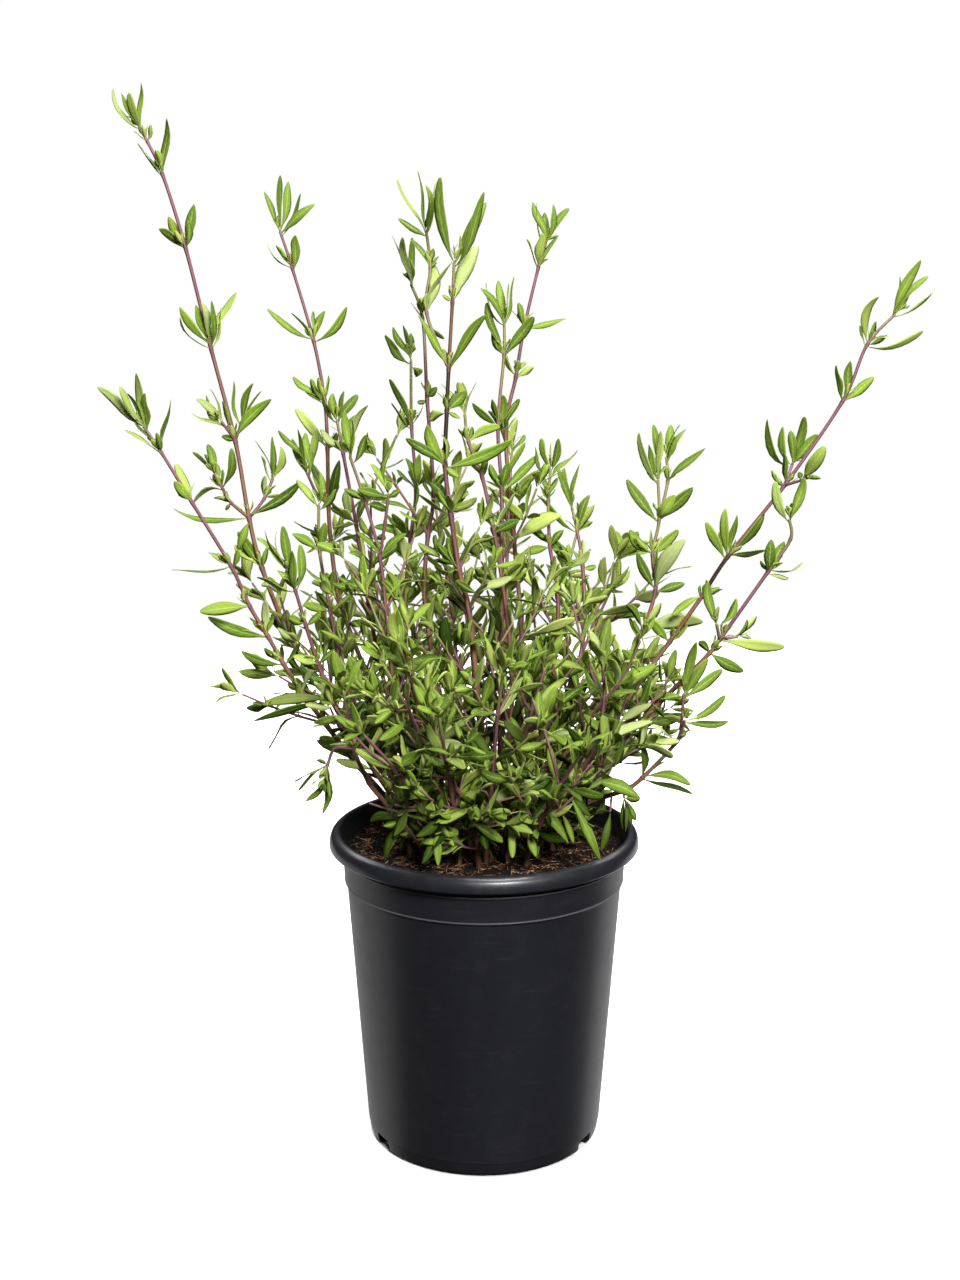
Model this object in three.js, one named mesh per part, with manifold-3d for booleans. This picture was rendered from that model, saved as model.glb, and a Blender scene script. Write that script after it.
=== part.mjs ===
// A potted cleveland sage: a nursery pot, its soil, and the leafy square stems that stand in it.
// Millimetres, +Z up, the front of the plant towards -Y, the origin under the middle of the pot.
import * as THREE from 'three';
import { mergeVertices } from 'three/addons/utils/BufferGeometryUtils.js';
import Module from 'manifold-3d';

const wasm = await Module();
wasm.setup();

// Driving sizes of the pot
const RIM_RADIUS = 82.5;
const POT_HEIGHT = 172;
const BASE_RADIUS = 63.2;
const STEP_HEIGHT = 144;
const STEP_RADIUS = 73.4;
const LIP_HEIGHT = 10.8;
const WALL = 1.6;
const FLOOR = 2.5;
const POT_SIDES = 36;

// Drain notches in the foot: angle from the front in degrees, width and height
const NOTCHES = [
  [-61, 11, 6.5], [61, 11, 6.5], [-119, 11, 6.5], [119, 11, 6.5], [-17, 5, 1.6], [163, 5, 1.6],
];

// Soil
const SOIL_LEVEL = 160;
const SOIL_RINGS = 5;
const SOIL_SIDES = 24;
const CLEAR = 0.3;

// Stems
const STEM_SINK = 15;
const STEM_RISE = 4;
const FOOT_WIDTH = 2.5;
const TIP_WIDTH = 1.1;
const SHOOT_WIDTH = 1.3;
const KNOT_STEP = 27;
const BUSH_PAIR = 23;
const BUSH_TIP = 18;

// Leaves
const WIDEST_AT = 0.45;
const SLENDER = 0.24;
const LEAST_WIDTH = 0.7;
const MOST_WIDTH = 5.2;
const KEEL = 0.24;
const ROOT_DEEP = 0.8;
const ROOT_STEP = 1.3;
const ROOT_ASIDE = 0.12;
const LEAST_LEAF = 67;
const NARROWEST_SEEN = 2.5;
const PAIR_OPEN = 47;
const TIP_OPEN = [33, 13];
const OPEN_SPREAD = 22;
const PAIR_TURN = 45;
const DEPTH_SPREAD = 0.8;

// The place that the sizes of the plant were read from: a point this far in front and this high.
// A place on a stem is given as across and up in the upright plane through the pot's middle,
// and depth behind that plane then moves it along the line of sight, so that the outline holds.
const EYE = new THREE.Vector3(-2, -900, 465);
const VIEW = new THREE.Vector3(0, -1, 0.3).normalize();

// How a leaf may turn, in depth and in length, until it is clear of the other stems
const TURNS = [
  [0, 1], [0.35, 1], [-0.35, 1], [0.75, 0.95], [-0.75, 0.95], [0.2, 0.72], [-0.4, 0.72], [0.6, 0.6],
];

// Corners closer than this are made one
const GRID = 0.005;

const green = new THREE.MeshStandardMaterial({ color: 0x6f9a3c, roughness: 0.6, metalness: 0 });
const black = new THREE.MeshStandardMaterial({ color: 0x2d2e31, roughness: 0.45, metalness: 0 });
const brown = new THREE.MeshStandardMaterial({ color: 0x3b2a20, roughness: 0.95, metalness: 0 });

// Each leafy stem: its foot in the soil, how far behind the middle its tip stands, and its route.
// A knot is [across, up, leaves]. The leaves are a number, the length of an opposite pair there,
// or a list of leaves, each [tip across, tip up, width seen, sideways bow]. The last knot is the tip.
const STEMS = [
  { name: 'stem_west_tall', foot: [-27, 8], away: 35, route: [
    [-40, 186],
    [-60, 213, 24],
    [-80, 240, 24],
    [-101, 274, 26],
    [-115, 311, [[-129, 323, 3], [-127, 330, 6], [-119, 321, 4], [-112, 322, 3.5]]],
    [-121, 337, [[-160, 342, 4.5, -3], [-94, 356, 5.5, 2], [-127, 321, 5]], [
      { away: -6, route: [
        [-130, 345, [[-133, 341, 2.5]]],
        [-134, 352, [[-149, 345, 1.5, 4], [-129, 373, 2, 2]]],
        [-138, 360, [[-149, 371, 2], [-143, 370, 3], [-141, 375, 4], [-137, 366, 3]]],
      ] },
      { away: 8, route: [
        [-113, 347, [[-112, 359, 3]]],
        [-108, 358, [[-117, 377, 2.5], [-108, 379, 4], [-104, 374, 2], [-114, 369, 3]]],
      ] },
    ]],
    [-127, 377, [[-108, 398, 6, -2], [-134, 379, 4]], [
      { away: -5, route: [
        [-134, 387, [
          [-149, 391, 1.5, -2], [-146, 398, 3], [-141, 400, 3], [-139, 403, 3], [-133, 397, 3]]],
      ] },
      { away: 5, route: [
        [-122, 389, [[-127, 407, 3], [-117, 406, 3], [-113, 402, 2], [-118, 395, 3]]],
      ] },
    ]],
    [-138, 424, [
      [-153, 444, 3.5], [-153, 439, 2.5, -2], [-145, 445, 2.5], [-142, 446, 3.5], [-137, 447, 3],
      [-132, 444, 3.5], [-124, 451, 4.5, -2]]],
    [-149, 473, [[-162, 482, 3.5], [-157, 488, 3], [-147, 486, 3.5], [-144, 494, 5.5]]],
    [-159, 508, [[-171, 523, 2, -2], [-167, 519, 3], [-162, 520, 3], [-156, 535, 5]]],
    [-166, 524, [[-164, 532, 2]]],
    [-170, 531, [[-182, 549, 2, -2], [-178, 547, 4], [-174, 547, 3], [-168, 552, 4.5]]],
  ] },
  { name: 'stem_west_low', foot: [-40, -7], away: -30, route: [
    [-50, 184],
    [-68, 206, 24],
    [-84, 228, 26],
    [-96, 245, [[-111, 244, 1.5], [-106, 256, 3], [-88, 262, 4]]],
    [-105, 260, [[-127, 267, 4.5, -2], [-115, 269, 3.5], [-96, 272, 4]]],
    [-113, 275, [[-144, 285, 6.5, -2], [-127, 278, 2], [-122, 285, 3], [-114, 294, 5], [-109, 288, 3]]],
    [-122, 291, [[-148, 288, 7]]],
    [-131, 312, [[-162, 310, 3, -2], [-143, 319, 2.5], [-138, 319, 3], [-127, 321, 3]]],
    [-150, 345, [[-158, 365, 4.5], [-159, 356, 5]]],
    [-165, 371, [[-183, 382, 2.5], [-178, 386, 2.5], [-167, 381, 2.5], [-159, 398, 2, -2]]],
    [-174, 385, [[-196, 404, 4], [-185, 404, 3], [-181, 401, 3], [-176, 411, 5], [-172, 401, 3]]],
  ] },
  { name: 'stem_north_west', foot: [-14, 26], away: 62, route: [
    [-28, 188],
    [-46, 222, 24],
    [-62, 256, 24],
    [-75, 294, 26],
    [-79, 324, 26],
    [-80, 344, [[-88, 359, 4], [-89, 366, 3], [-74, 367, 5], [-76, 358, 4]], [
      { away: -8, route: [
        [-86, 350],
        [-91, 361, [[-105, 382, 2.5], [-98, 378, 3], [-95, 383, 4], [-91, 381, 2.5], [-85, 383, 3.5]]],
      ] },
    ]],
    [-80, 373, [[-96, 393, 5.5], [-75, 381, 4], [-84, 383, 3]]],
    [-81, 397, [[-97, 409, 4], [-91, 402, 3], [-88, 408, 3], [-84, 409, 3], [-79, 410, 3]]],
    [-86, 427, [
      [-109, 443, 4.5, -2], [-97, 441, 3], [-86, 442, 3.5], [-80, 442, 2.5], [-69, 444, 4.5, 2]]],
    [-96, 463, [[-108, 475, 3], [-104, 474, 3], [-94, 479, 4]]],
    [-102, 482, [
      [-109, 500, 1.5, -2], [-101, 508, 2.5], [-97, 505, 3.5], [-91, 499, 1.5, 3], [-84, 494, 5.5]]],
  ] },
  { name: 'stem_west_inner', foot: [-22, 17], away: 15, route: [
    [-34, 190],
    [-46, 225, 24],
    [-55, 262, 24],
    [-61, 298, 24],
    [-66, 334, 24],
    [-72, 370, [[-62, 391, 1.5, -2], [-59, 395, 1.5, -2], [-68, 385, 3], [-83, 383, 4]]],
    [-75, 388, [[-77, 401, 5], [-71, 402, 4], [-64, 400, 5], [-82, 401, 3]]],
  ] },
  { name: 'stem_west_middle', foot: [-20, 0], away: -15, route: [
    [-30, 186],
    [-40, 212, 22],
    [-47, 238, 24],
    [-49, 264, 24],
    [-51, 288, 24],
    [-54, 317, [[-66, 330, 4], [-40, 329, 4]], [
      { away: -10, route: [
        [-51, 335],
        [-49, 350, [[-58, 365, 3.5], [-60, 360, 3], [-65, 352, 5], [-42, 383, 4, -3], [-43, 352, 4]]],
      ] },
    ]],
    [-61, 345, [[-72, 352, 4], [-50, 341, 5]]],
    [-69, 370, [[-78, 384, 3], [-67, 388, 3], [-60, 380, 3], [-71, 392, 3]]],
  ] },
  { name: 'stem_dark_main', foot: [-2, -9], away: -14, girth: 3, route: [
    [2, 186],
    [-1, 215, 24],
    [-4, 250, 22],
    [-8, 289, 22],
    [-13, 310, 20],
    [-17, 338, 22],
    [-20, 364, [[14, 377, 6.5, 2], [-29, 385, 6, -2], [-40, 378, 5], [-13, 358, 4], [-22, 380, 4]]],
    [-19, 392, [[-9, 402, 6], [-25, 402, 2.5], [-28, 387, 5, 2], [-12, 388, 3]]],
    [-18, 413, [[-33, 440, 4.5], [1, 440, 4, -2], [-13, 423, 2.5]], [
      { away: 8, route: [
        [-29, 441, [[-25, 465, 6, 2], [-16, 466, 1.5, -3]]],
        [-27, 463, [[-37, 477, 4], [-24, 466, 2]]],
        [-29, 482, [
          [-43, 506, 2], [-33, 510, 3], [-29, 503, 3], [-24, 505, 3], [-43, 487, 4], [-26, 490, 2]]],
      ] },
    ]],
    [-16, 446, [[-3, 474, 8, -1], [-21, 450, 2]]],
    [-15, 467, [[-22, 507, 5.5, -3], [1, 495, 6], [0, 500, 4], [-12, 479, 2]]],
  ] },
  { name: 'stem_left_outer', foot: [-15, 8], away: 38, route: [
    [-24, 190],
    [-34, 225, 22],
    [-40, 258, 22],
    [-41, 292, 22],
    [-38, 326, 22],
    [-35, 352, [[-40, 368, 4], [-33, 370, 4], [-45, 362, 3], [-27, 365, 3]]],
    [-37, 384, [[-48, 408, 4], [-47, 396, 3.5], [-44, 401, 3.5], [-31, 395, 3]]],
    [-37, 419, [[-50, 430, 3.5], [-46, 434, 4], [-41, 435, 3], [-37, 431, 3], [-34, 409, 5, -2]]],
  ] },
  { name: 'stem_left_second', foot: [-9, 0], away: 18, route: [
    [-16, 190],
    [-22, 222, 22],
    [-27, 262, 22],
    [-31, 297, 22],
    [-29, 328, 22],
    [-26, 350, [[-31, 366, 4], [-20, 360, 4]]],
    [-29, 398, [[-24, 404, 4], [-34, 396, 3]]],
    [-31, 438, [[-20, 428, 3]]],
    [-37, 456, [[-46, 479, 3, -1], [-41, 478, 3], [-36, 478, 4], [-38, 468, 3]]],
  ] },
  { name: 'stem_right_second', foot: [5, 17], away: 45, route: [
    [8, 195],
    [10, 235, 22],
    [9, 275, 22],
    [9, 315, 22],
    [9, 351, [[12, 366, 5], [21, 375, 3], [28, 370, 5], [3, 365, 3], [20, 336, 4]]],
    [7, 384, [[-6, 396, 4], [4, 398, 3], [16, 396, 3]]],
    [10, 420, [[1, 446, 4, -1], [25, 439, 6], [4, 432, 3]]],
    [10, 437, [[-2, 453, 4], [1, 456, 3], [7, 457, 4.5], [12, 456, 2.5], [15, 459, 3]]],
  ] },
  { name: 'stem_north', foot: [12, 26], away: 85, route: [
    [16, 198],
    [20, 240, 22],
    [19, 285, 22],
    [15, 330, 22],
    [11, 381, [[2, 392, 4], [18, 398, 4], [9, 400, 3]]],
    [16, 409, [[25, 414, 4], [10, 421, 3]]],
    [20, 433, [[17, 446, 3.5], [13, 443, 2.5], [41, 438, 5, 1]]],
    [27, 463, [[21, 477, 2.5], [29, 480, 3.5], [37, 479, 4]]],
    [31, 476, [[24, 495, 2], [26, 495, 3], [34, 494, 3], [30, 490, 2.5], [42, 492, 3.5]]],
  ] },
  { name: 'stem_front_slender', foot: [-3, 8], away: 6, route: [
    [8, 192],
    [14, 228, 20],
    [14, 264, 20],
    [10, 300, 20],
    [5, 330, [[-3, 345, 4], [18, 336, 5], [16, 350, 2]]],
    [-1, 358, [[2, 368, 5], [-8, 367, 3]]],
    [-8, 376, [[8, 384, 5, -2], [-6, 384, 3]]],
    [-10, 391, 18],
  ] },
  { name: 'stem_right_inner', foot: [19, 17], away: 38, route: [
    [26, 196],
    [34, 236, 22],
    [38, 275, 22],
    [38, 300, [[50, 303, 4], [32, 313, 4], [45, 313, 3]]],
    [34, 322, [[22, 333, 3.5], [20, 319, 5], [41, 331, 4], [39, 320, 3]]],
    [33, 346, [[27, 362, 4], [38, 358, 3]]],
    [34, 363, [[29, 378, 3], [26, 374, 1.5], [34, 376, 3], [38, 378, 3], [48, 372, 4]]],
  ] },
  { name: 'stem_right_thin', foot: [26, 26], away: 66, route: [
    [34, 198],
    [44, 236, 20],
    [52, 276, 20],
    [51, 312, [[51, 326, 4], [58, 312, 4], [44, 315, 3]]],
    [48, 330, [[27, 349, 3.5, 1], [54, 349, 4]]],
    [45, 343, [[37, 363, 3], [41, 363, 3.5], [45, 356, 3], [49, 365, 3]]],
  ] },
  { name: 'stem_east_upright', foot: [14, 0], away: 12, route: [
    [26, 184],
    [40, 206, 24],
    [52, 224, 24],
    [65, 244, [[88, 257, 6, 2], [54, 262, 4], [72, 262, 4]]],
    [74, 260, [[64, 279, 4], [84, 268, 5]]],
    [83, 279, [[114, 283, 9, -2], [92, 293, 4], [74, 292, 4]]],
    [89, 300, [[79, 319, 5, -1], [104, 326, 9, -3], [91, 323, 4], [104, 303, 5]]],
    [87, 318, [[75, 331, 6, -2], [78, 328, 3], [86, 332, 4], [100, 331, 5.5]]],
    [90, 336, [[73, 357, 6, -1], [98, 349, 6], [107, 353, 7]], [
      { away: 8, route: [
        [94, 356, [[113, 373, 4.5, 1], [93, 364, 3]]],
        [93, 369, [[95, 385, 5], [100, 385, 3], [103, 383, 2.5], [98, 379, 5]]],
      ] },
    ]],
    [89, 358, [[79, 381, 4, -1], [84, 375, 2.5], [86, 385, 3.5], [90, 382, 3], [83, 361, 1.5]]],
  ] },
  { name: 'stem_east_tall', foot: [27, 0], away: -8, route: [
    [40, 186],
    [54, 208, 24],
    [70, 232, 24],
    [85, 255, [[72, 268, 4], [96, 258, 4]]],
    [97, 272, [[86, 284, 4], [106, 281, 4]]],
    [113, 296, [[98, 286, 4.5, 1], [112, 302, 2], [124, 300, 3]]],
    [126, 317, [
      [114, 335, 4], [121, 330, 2], [124, 342, 3.5], [130, 339, 4.5], [145, 320, 2, 1], [144, 340, 4]]],
    [154, 354, [[147, 362, 2], [148, 359, 3.5], [153, 371, 2.5]], [
      { away: 10, route: [
        [158, 366, [[144, 388, 3, -3], [152, 384, 3], [156, 382, 2.5], [163, 389, 4.5], [170, 380, 6]]],
      ] },
      { away: -10, route: [
        [164, 357, [[174, 374, 7], [161, 361, 3], [170, 359, 2]]],
      ] },
    ]],
    [182, 397, [[178, 415, 3.5], [185, 417, 4.5], [197, 409, 5]]],
    [193, 425, [
      [189, 435, 2.5], [198, 449, 4.5, -4], [197, 437, 3], [203, 430, 3], [221, 432, 1.5, 2]]],
    [207, 441, [[208, 459, 2], [218, 467, 5, -1], [222, 459, 3], [226, 453, 2, 1], [213, 455, 3]]],
  ] },
  { name: 'stem_east_low', foot: [36, -9], away: -48, route: [
    [46, 182],
    [62, 204, 24],
    [82, 228, 24],
    [101, 248, [[93, 262, 4], [116, 249, 4]]],
    [118, 266, [[112, 272, 4], [136, 256, 6, 1]]],
    [123, 273, [[157, 269, 6, 1]], [
      { away: -6, route: [
        [121, 282, [[116, 304, 5, -2], [122, 291, 3], [131, 295, 2.5, 2]]],
      ] },
      { away: 6, route: [
        [133, 275, [[142, 286, 3.5], [137, 284, 2.5]]],
      ] },
    ]],
    [147, 309, [[148, 326, 6], [155, 325, 5], [165, 314, 1.5, 1], [158, 305, 1.5], [143, 315, 1.5]]],
    [158, 326],
    [157, 337, [[164, 358, 5, 1], [149, 356, 4, -2], [158, 345, 2.5]]],
  ] },
  { name: 'stem_east_arch', foot: [28, -18], away: -52, route: [
    [50, 181, 20],
    [74, 191, [[62, 200, 5], [80, 188, 3]]],
    [84, 198, [[110, 194, 4, -1], [111, 189, 3], [84, 216, 3], [96, 207, 3]]],
    [102, 218, [[86, 222, 5, -1], [88, 227, 3]], [
      { away: -12, route: [
        [106, 230, [[127, 243, 3, 1], [129, 229, 4, 3], [124, 238, 1.5]]],
      ] },
    ]],
    [104, 226],
    [105, 245, [[106, 258, 5], [111, 272, 5, -1], [117, 263, 5], [125, 257, 5.5], [94, 241, 4]]],
  ] },
  { name: 'stem_front_right', foot: [12, -27], away: -66, route: [
    [30, 178, 20],
    [45, 194, 24],
    [58, 213, [[89, 229, 5, -3], [44, 226, 4], [66, 228, 4]]],
    [63, 240, 22],
    [62, 258, 22],
  ] },
  { name: 'stem_east_spray', foot: [19, -8], away: -32, route: [
    [34, 182],
    [52, 203, 22],
    [67, 220, 22],
    [77, 230, [[86, 222, 3], [66, 240, 4]]],
    [89, 240, [[95, 231, 2.5], [104, 241, 3, -1], [82, 250, 3]]],
    [97, 252, [[92, 263, 2], [94, 262, 2], [100, 268, 5], [104, 258, 3], [108, 252, 3]]],
  ] },
  { name: 'stem_west_spray', foot: [-31, -13], away: -46, route: [
    [-44, 180],
    [-58, 202, 22],
    [-71, 223, 22],
    [-80, 240, [[-117, 238, 6, 2], [-122, 229, 3.5, 4], [-70, 250, 4]]],
    [-87, 260, [[-100, 264, 5], [-78, 268, 4]]],
    [-93, 281, [[-102, 285, 5], [-85, 288, 4]]],
    [-98, 299, [[-99, 320, 5], [-96, 322, 3], [-107, 310, 4], [-118, 306, 1.5]]],
    [-102, 311, [[-104, 333, 5], [-107, 330, 2.5], [-117, 327, 3], [-113, 331, 3]]],
  ] },
  { name: 'stem_west_second', foot: [-31, 0], away: -6, route: [
    [-42, 186],
    [-56, 212, 22],
    [-68, 236, 22],
    [-75, 260, 24],
    [-80, 288, [[-94, 292, 5], [-68, 298, 4], [-88, 299, 4]]],
    [-85, 320, [[-99, 329, 5, 1], [-82, 335, 5], [-76, 325, 4]]],
    [-85, 345, [[-96, 357, 3], [-84, 361, 4], [-76, 352, 4]]],
  ] },
  { name: 'stem_west_rim', foot: [-39, -19], away: -74, route: [
    [-50, 180],
    [-61, 195, [[-79, 200, 3.5, -1], [-52, 200, 2]]],
    [-69, 214, [[-82, 216, 4], [-60, 222, 4]], [
      { away: -14, route: [
        [-79, 214],
        [-83, 205, [[-89, 208, 2.5]]],
        [-85, 199, [
          [-101, 196, 2.5], [-99, 191, 2.5], [-95, 185, 2.5], [-86, 178, 2.5], [-82, 187, 3]]],
      ] },
    ]],
    [-72, 232, [[-90, 228, 4], [-63, 240, 4]]],
    [-74, 246, 20],
  ] },
  { name: 'stem_front_left', foot: [-7, -18], away: -62, route: [
    [-14, 184, 20],
    [-24, 206, 22],
    [-31, 228, 22],
    [-38, 250, 22],
    [-44, 268, 20],
  ] },
  { name: 'stem_front_low', foot: [-3, -36], away: -78, route: [
    [-8, 180, 20],
    [-18, 197, 22],
    [-24, 213, 20],
    [-27, 228, 20],
  ] },
];

// The rest of the bush, as [foot x, foot y, tip across, tip up, tip behind the middle]
const BUSH = [
  [-20, 34, -62, 318, 118], [-8, 35, -26, 352, 128], [8, 34, 14, 372, 132], [21, 34, 48, 330, 122],
  [-29, 26, -98, 268, 92], [34, 17, 84, 262, 88], [-35, 17, -88, 238, 60], [2, 26, -14, 318, 94],
  [37, 8, 84, 230, 30], [24, 7, 66, 300, 78], [-13, -9, -52, 258, -72], [-21, -20, -64, 222, -88],
  [-13, -30, -24, 232, -102], [1, -27, 10, 256, -94], [22, -30, 52, 212, -92], [10, -18, 32, 258, -48],
  [31, 35, 68, 256, 120], [-32, 36, -62, 244, 124],
];

const vec = (x, y, z) => new THREE.Vector3(x, y, z);
const radians = (degrees) => degrees * Math.PI / 180;

// A seeded draw of numbers from 0 to 1, the same on every run
function dice(seed) {
  let state = seed >>> 0;
  return () => {
    state = (state + 0x6d2b79f5) >>> 0;
    let mix = Math.imul(state ^ (state >>> 15), state | 1);
    mix ^= mix + Math.imul(mix ^ (mix >>> 7), mix | 61);
    return ((mix ^ (mix >>> 14)) >>> 0) / 4294967296;
  };
}

function seen(across, up, depth) {
  const place = vec(across, 0, up).sub(EYE);
  return place.multiplyScalar((depth - EYE.y) / -EYE.y).add(EYE);
}

// The across and up of a point, as seen from the eye
function flatPlace(point) {
  const ray = point.clone().sub(EYE);
  ray.multiplyScalar(-EYE.y / (point.y - EYE.y)).add(EYE);
  return [ray.x, ray.z];
}

// The frame of a stem at a knot: along it, and two directions across it
function frameAt(points, i) {
  const before = points[Math.max(i - 1, 0)];
  const after = points[Math.min(i + 1, points.length - 1)];
  const along = after.clone().sub(before).normalize();
  const side = vec(0, 1, 0).cross(along).normalize();
  const back = along.clone().cross(side);
  const up = after.clone().sub(points[i]).normalize();
  const down = before.clone().sub(points[i]).normalize();
  return { along, side, back, up, down };
}

// One shoot: its knots as points in space, what leaves each knot bears, and its own side shoots
function layShoot(route, start, startPlace, depthStart, depthEnd) {
  const spans = [];
  let last = startPlace;
  for (const [across, up] of route) {
    spans.push(Math.hypot(across - last[0], up - last[1]));
    last = [across, up];
  }
  const whole = spans.reduce((sum, span) => sum + span, 0);
  const points = [...start];
  const knots = [];
  let run = 0;
  route.forEach(([across, up, leaves, shoots], i) => {
    run += spans[i];
    const depth = depthStart + (depthEnd - depthStart) * run / whole;
    points.push(seen(across, up, depth));
    knots.push({ at: points.length - 1, across, up, depth, leaves: leaves ?? 0, shoots: shoots ?? [] });
  });
  return { points, knots };
}

// The route of a bush stem: it leaves the crown steeply and leans out, with a knot every so often
function bushRoute(tipAcross, tipUp, foot) {
  const [footAcross, footUp] = flatPlace(vec(foot[0], foot[1], SOIL_LEVEL));
  const rise = tipUp - footUp;
  const knots = Math.max(3, Math.round(Math.hypot(tipAcross - footAcross, rise) / KNOT_STEP));
  const route = [];
  for (let i = 1; i <= knots; i += 1) {
    const t = i / knots;
    const across = footAcross + (tipAcross - footAcross) * (0.62 * t + 0.38 * t * t);
    const up = footUp + rise * (1.12 * t - 0.12 * t * t);
    route.push([Math.round(across), Math.round(up), i === knots ? BUSH_TIP : BUSH_PAIR]);
  }
  return route;
}

// A pair of opposite leaves, or the two crossed pairs at a tip, where no leaf is given by hand
function ruleLeaves(length, frame, point, isTip, seed) {
  const draw = dice(seed);
  const turn = radians(PAIR_TURN + 90 * (seed % 2)) + (draw() - 0.5) * 0.7;
  const leaves = [];
  (isTip ? TIP_OPEN : [PAIR_OPEN]).forEach((open, pair) => {
    for (const half of [0, 1]) {
      const angle = turn + Math.PI * half + Math.PI / 2 * pair + (draw() - 0.5) * 0.4;
      const tilt = radians(open + (draw() - 0.5) * OPEN_SPREAD);
      const reach = length * (0.86 + 0.28 * draw());
      const heading = frame.along.clone().multiplyScalar(Math.cos(tilt));
      heading.addScaledVector(frame.side, Math.sin(tilt) * Math.cos(angle));
      heading.addScaledVector(frame.back, Math.sin(tilt) * Math.sin(angle));
      const tip = point.clone().addScaledVector(heading, reach);
      const face = frame.along.clone().addScaledVector(heading, -frame.along.dot(heading)).normalize();
      const bow = face.clone().multiplyScalar(reach * 0.07 * (draw() - 0.2));
      leaves.push({ root: point, tip, face, width: reach * SLENDER + LEAST_WIDTH, bow });
    }
  });
  return seatRoots(leaves, frame, isTip);
}

// The leaves given by hand at a knot: their tips are where they are seen, a little nearer or further.
// A leaf looks as wide as it is told to, so a broader one is rolled about its midrib until it does.
function givenLeaves(list, knot, frame, point, isTip, seed) {
  const leaves = [];
  list.forEach(([across, up, seenWidth, sideBow], i) => {
    const draw = dice(seed + 11 * (i + 1));
    const flat = Math.hypot(across - knot.across, up - knot.up);
    if (flat * Math.max(seenWidth, NARROWEST_SEEN) < LEAST_LEAF) return;
    const tip = seen(across, up, knot.depth + flat * (draw() - 0.5) * DEPTH_SPREAD);
    const length = tip.distanceTo(point);
    const heading = tip.clone().sub(point).normalize();
    const width = Math.max(seenWidth, Math.min(length * SLENDER + LEAST_WIDTH, MOST_WIDTH));
    const facing = VIEW.clone().addScaledVector(heading, -VIEW.dot(heading)).normalize();
    const edge = heading.clone().cross(facing);
    const roll = Math.acos(Math.min(seenWidth / width, 1)) * (draw() < 0.5 ? -1 : 1);
    const face = facing.clone().multiplyScalar(Math.cos(roll)).addScaledVector(edge, Math.sin(roll));
    const bow = vec(-(up - knot.up), 0, across - knot.across).normalize().multiplyScalar(-(sideBow ?? 0));
    bow.addScaledVector(face, length * 0.06 * (draw() - 0.5));
    leaves.push({ root: point, tip, face, width, bow });
  });
  return seatRoots(leaves, frame, isTip);
}

// The leaves of a knot spread along the stem, the steepest one highest, each a little to its own side
function seatRoots(leaves, frame, isTip) {
  const steepness = (leaf) => leaf.tip.clone().sub(leaf.root).normalize().dot(frame.along);
  const order = [...leaves].sort((a, b) => steepness(b) - steepness(a));
  const top = isTip ? -ROOT_STEP : ROOT_STEP * (leaves.length - 1) / 2;
  order.forEach((leaf, rank) => {
    const out = leaf.tip.clone().sub(leaf.root);
    out.addScaledVector(frame.along, -out.dot(frame.along)).normalize();
    const shift = top - ROOT_STEP * rank;
    leaf.root = leaf.root.clone().addScaledVector(shift > 0 ? frame.up : frame.down, Math.abs(shift));
    leaf.root.addScaledVector(out, ROOT_ASIDE);
  });
  return leaves;
}

// The same leaf turned in depth and in length, as one of the ways that it may lie
function turned(leaf, [swing, share]) {
  const span = leaf.tip.clone().sub(leaf.root);
  const length = span.length();
  span.y += swing * length;
  span.multiplyScalar(share);
  const tip = leaf.root.clone().add(span);
  const heading = span.clone().normalize();
  const face = leaf.face.clone().addScaledVector(heading, -leaf.face.dot(heading)).normalize();
  return { ...leaf, tip, face, width: leaf.width * Math.max(share, 0.8) };
}

function geometryOf(corners, faces) {
  const geometry = new THREE.BufferGeometry();
  const numbers = corners.flatMap((p) => [p.x, p.y, p.z]);
  geometry.setAttribute('position', new THREE.Float32BufferAttribute(numbers, 3));
  geometry.setIndex(faces.flat());
  return geometry;
}

// A closed solid of rings of corners, from the first ring to the last, which may be one point
function ringSolid(rings) {
  const corners = rings.flat();
  const faces = [];
  const sides = rings[0].length;
  for (let i = 2; i < sides; i += 1) faces.push([0, i, i - 1]);
  let base = 0;
  for (let r = 1; r < rings.length; r += 1) {
    const next = base + sides;
    const single = rings[r].length === 1;
    for (let i = 0; i < sides; i += 1) {
      const j = (i + 1) % sides;
      if (single) {
        faces.push([base + i, base + j, next]);
      } else {
        faces.push([base + i, base + j, next + j], [base + i, next + j, next + i]);
      }
    }
    base = next;
  }
  if (rings.at(-1).length > 1) {
    for (let i = 2; i < sides; i += 1) faces.push([base, base + i - 1, base + i]);
  }
  return geometryOf(corners, faces);
}

function solidOf(geometry) {
  const plain = geometry.clone();
  plain.deleteAttribute('normal');
  plain.deleteAttribute('uv');
  const merged = mergeVertices(plain, 1e-4);
  const vertProperties = new Float32Array(merged.attributes.position.array);
  const triVerts = new Uint32Array(merged.index.array);
  return new wasm.Manifold(new wasm.Mesh({ numProp: 3, vertProperties, triVerts }));
}

// A blade with a flat upper side and a keel under its midrib, from an upright edge inside the stem
// to its widest place and on to its tip
function bladeSolid(leaf) {
  const heading = leaf.tip.clone().sub(leaf.root).normalize();
  const across = heading.clone().cross(leaf.face).normalize();
  const middle = leaf.root.clone().lerp(leaf.tip, WIDEST_AT).add(leaf.bow);
  const corners = [
    leaf.root, leaf.root.clone().addScaledVector(leaf.face, -ROOT_DEEP),
    middle.clone().addScaledVector(across, leaf.width / 2),
    middle.clone().addScaledVector(leaf.face, -Math.max(leaf.width * KEEL, ROOT_DEEP)),
    middle.clone().addScaledVector(across, -leaf.width / 2), leaf.tip,
  ];
  const faces = [[0, 2, 4], [0, 1, 3], [0, 3, 2], [0, 4, 1], [1, 4, 3], [2, 3, 5], [3, 4, 5], [4, 2, 5]];
  return solidOf(geometryOf(corners, faces));
}

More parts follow.
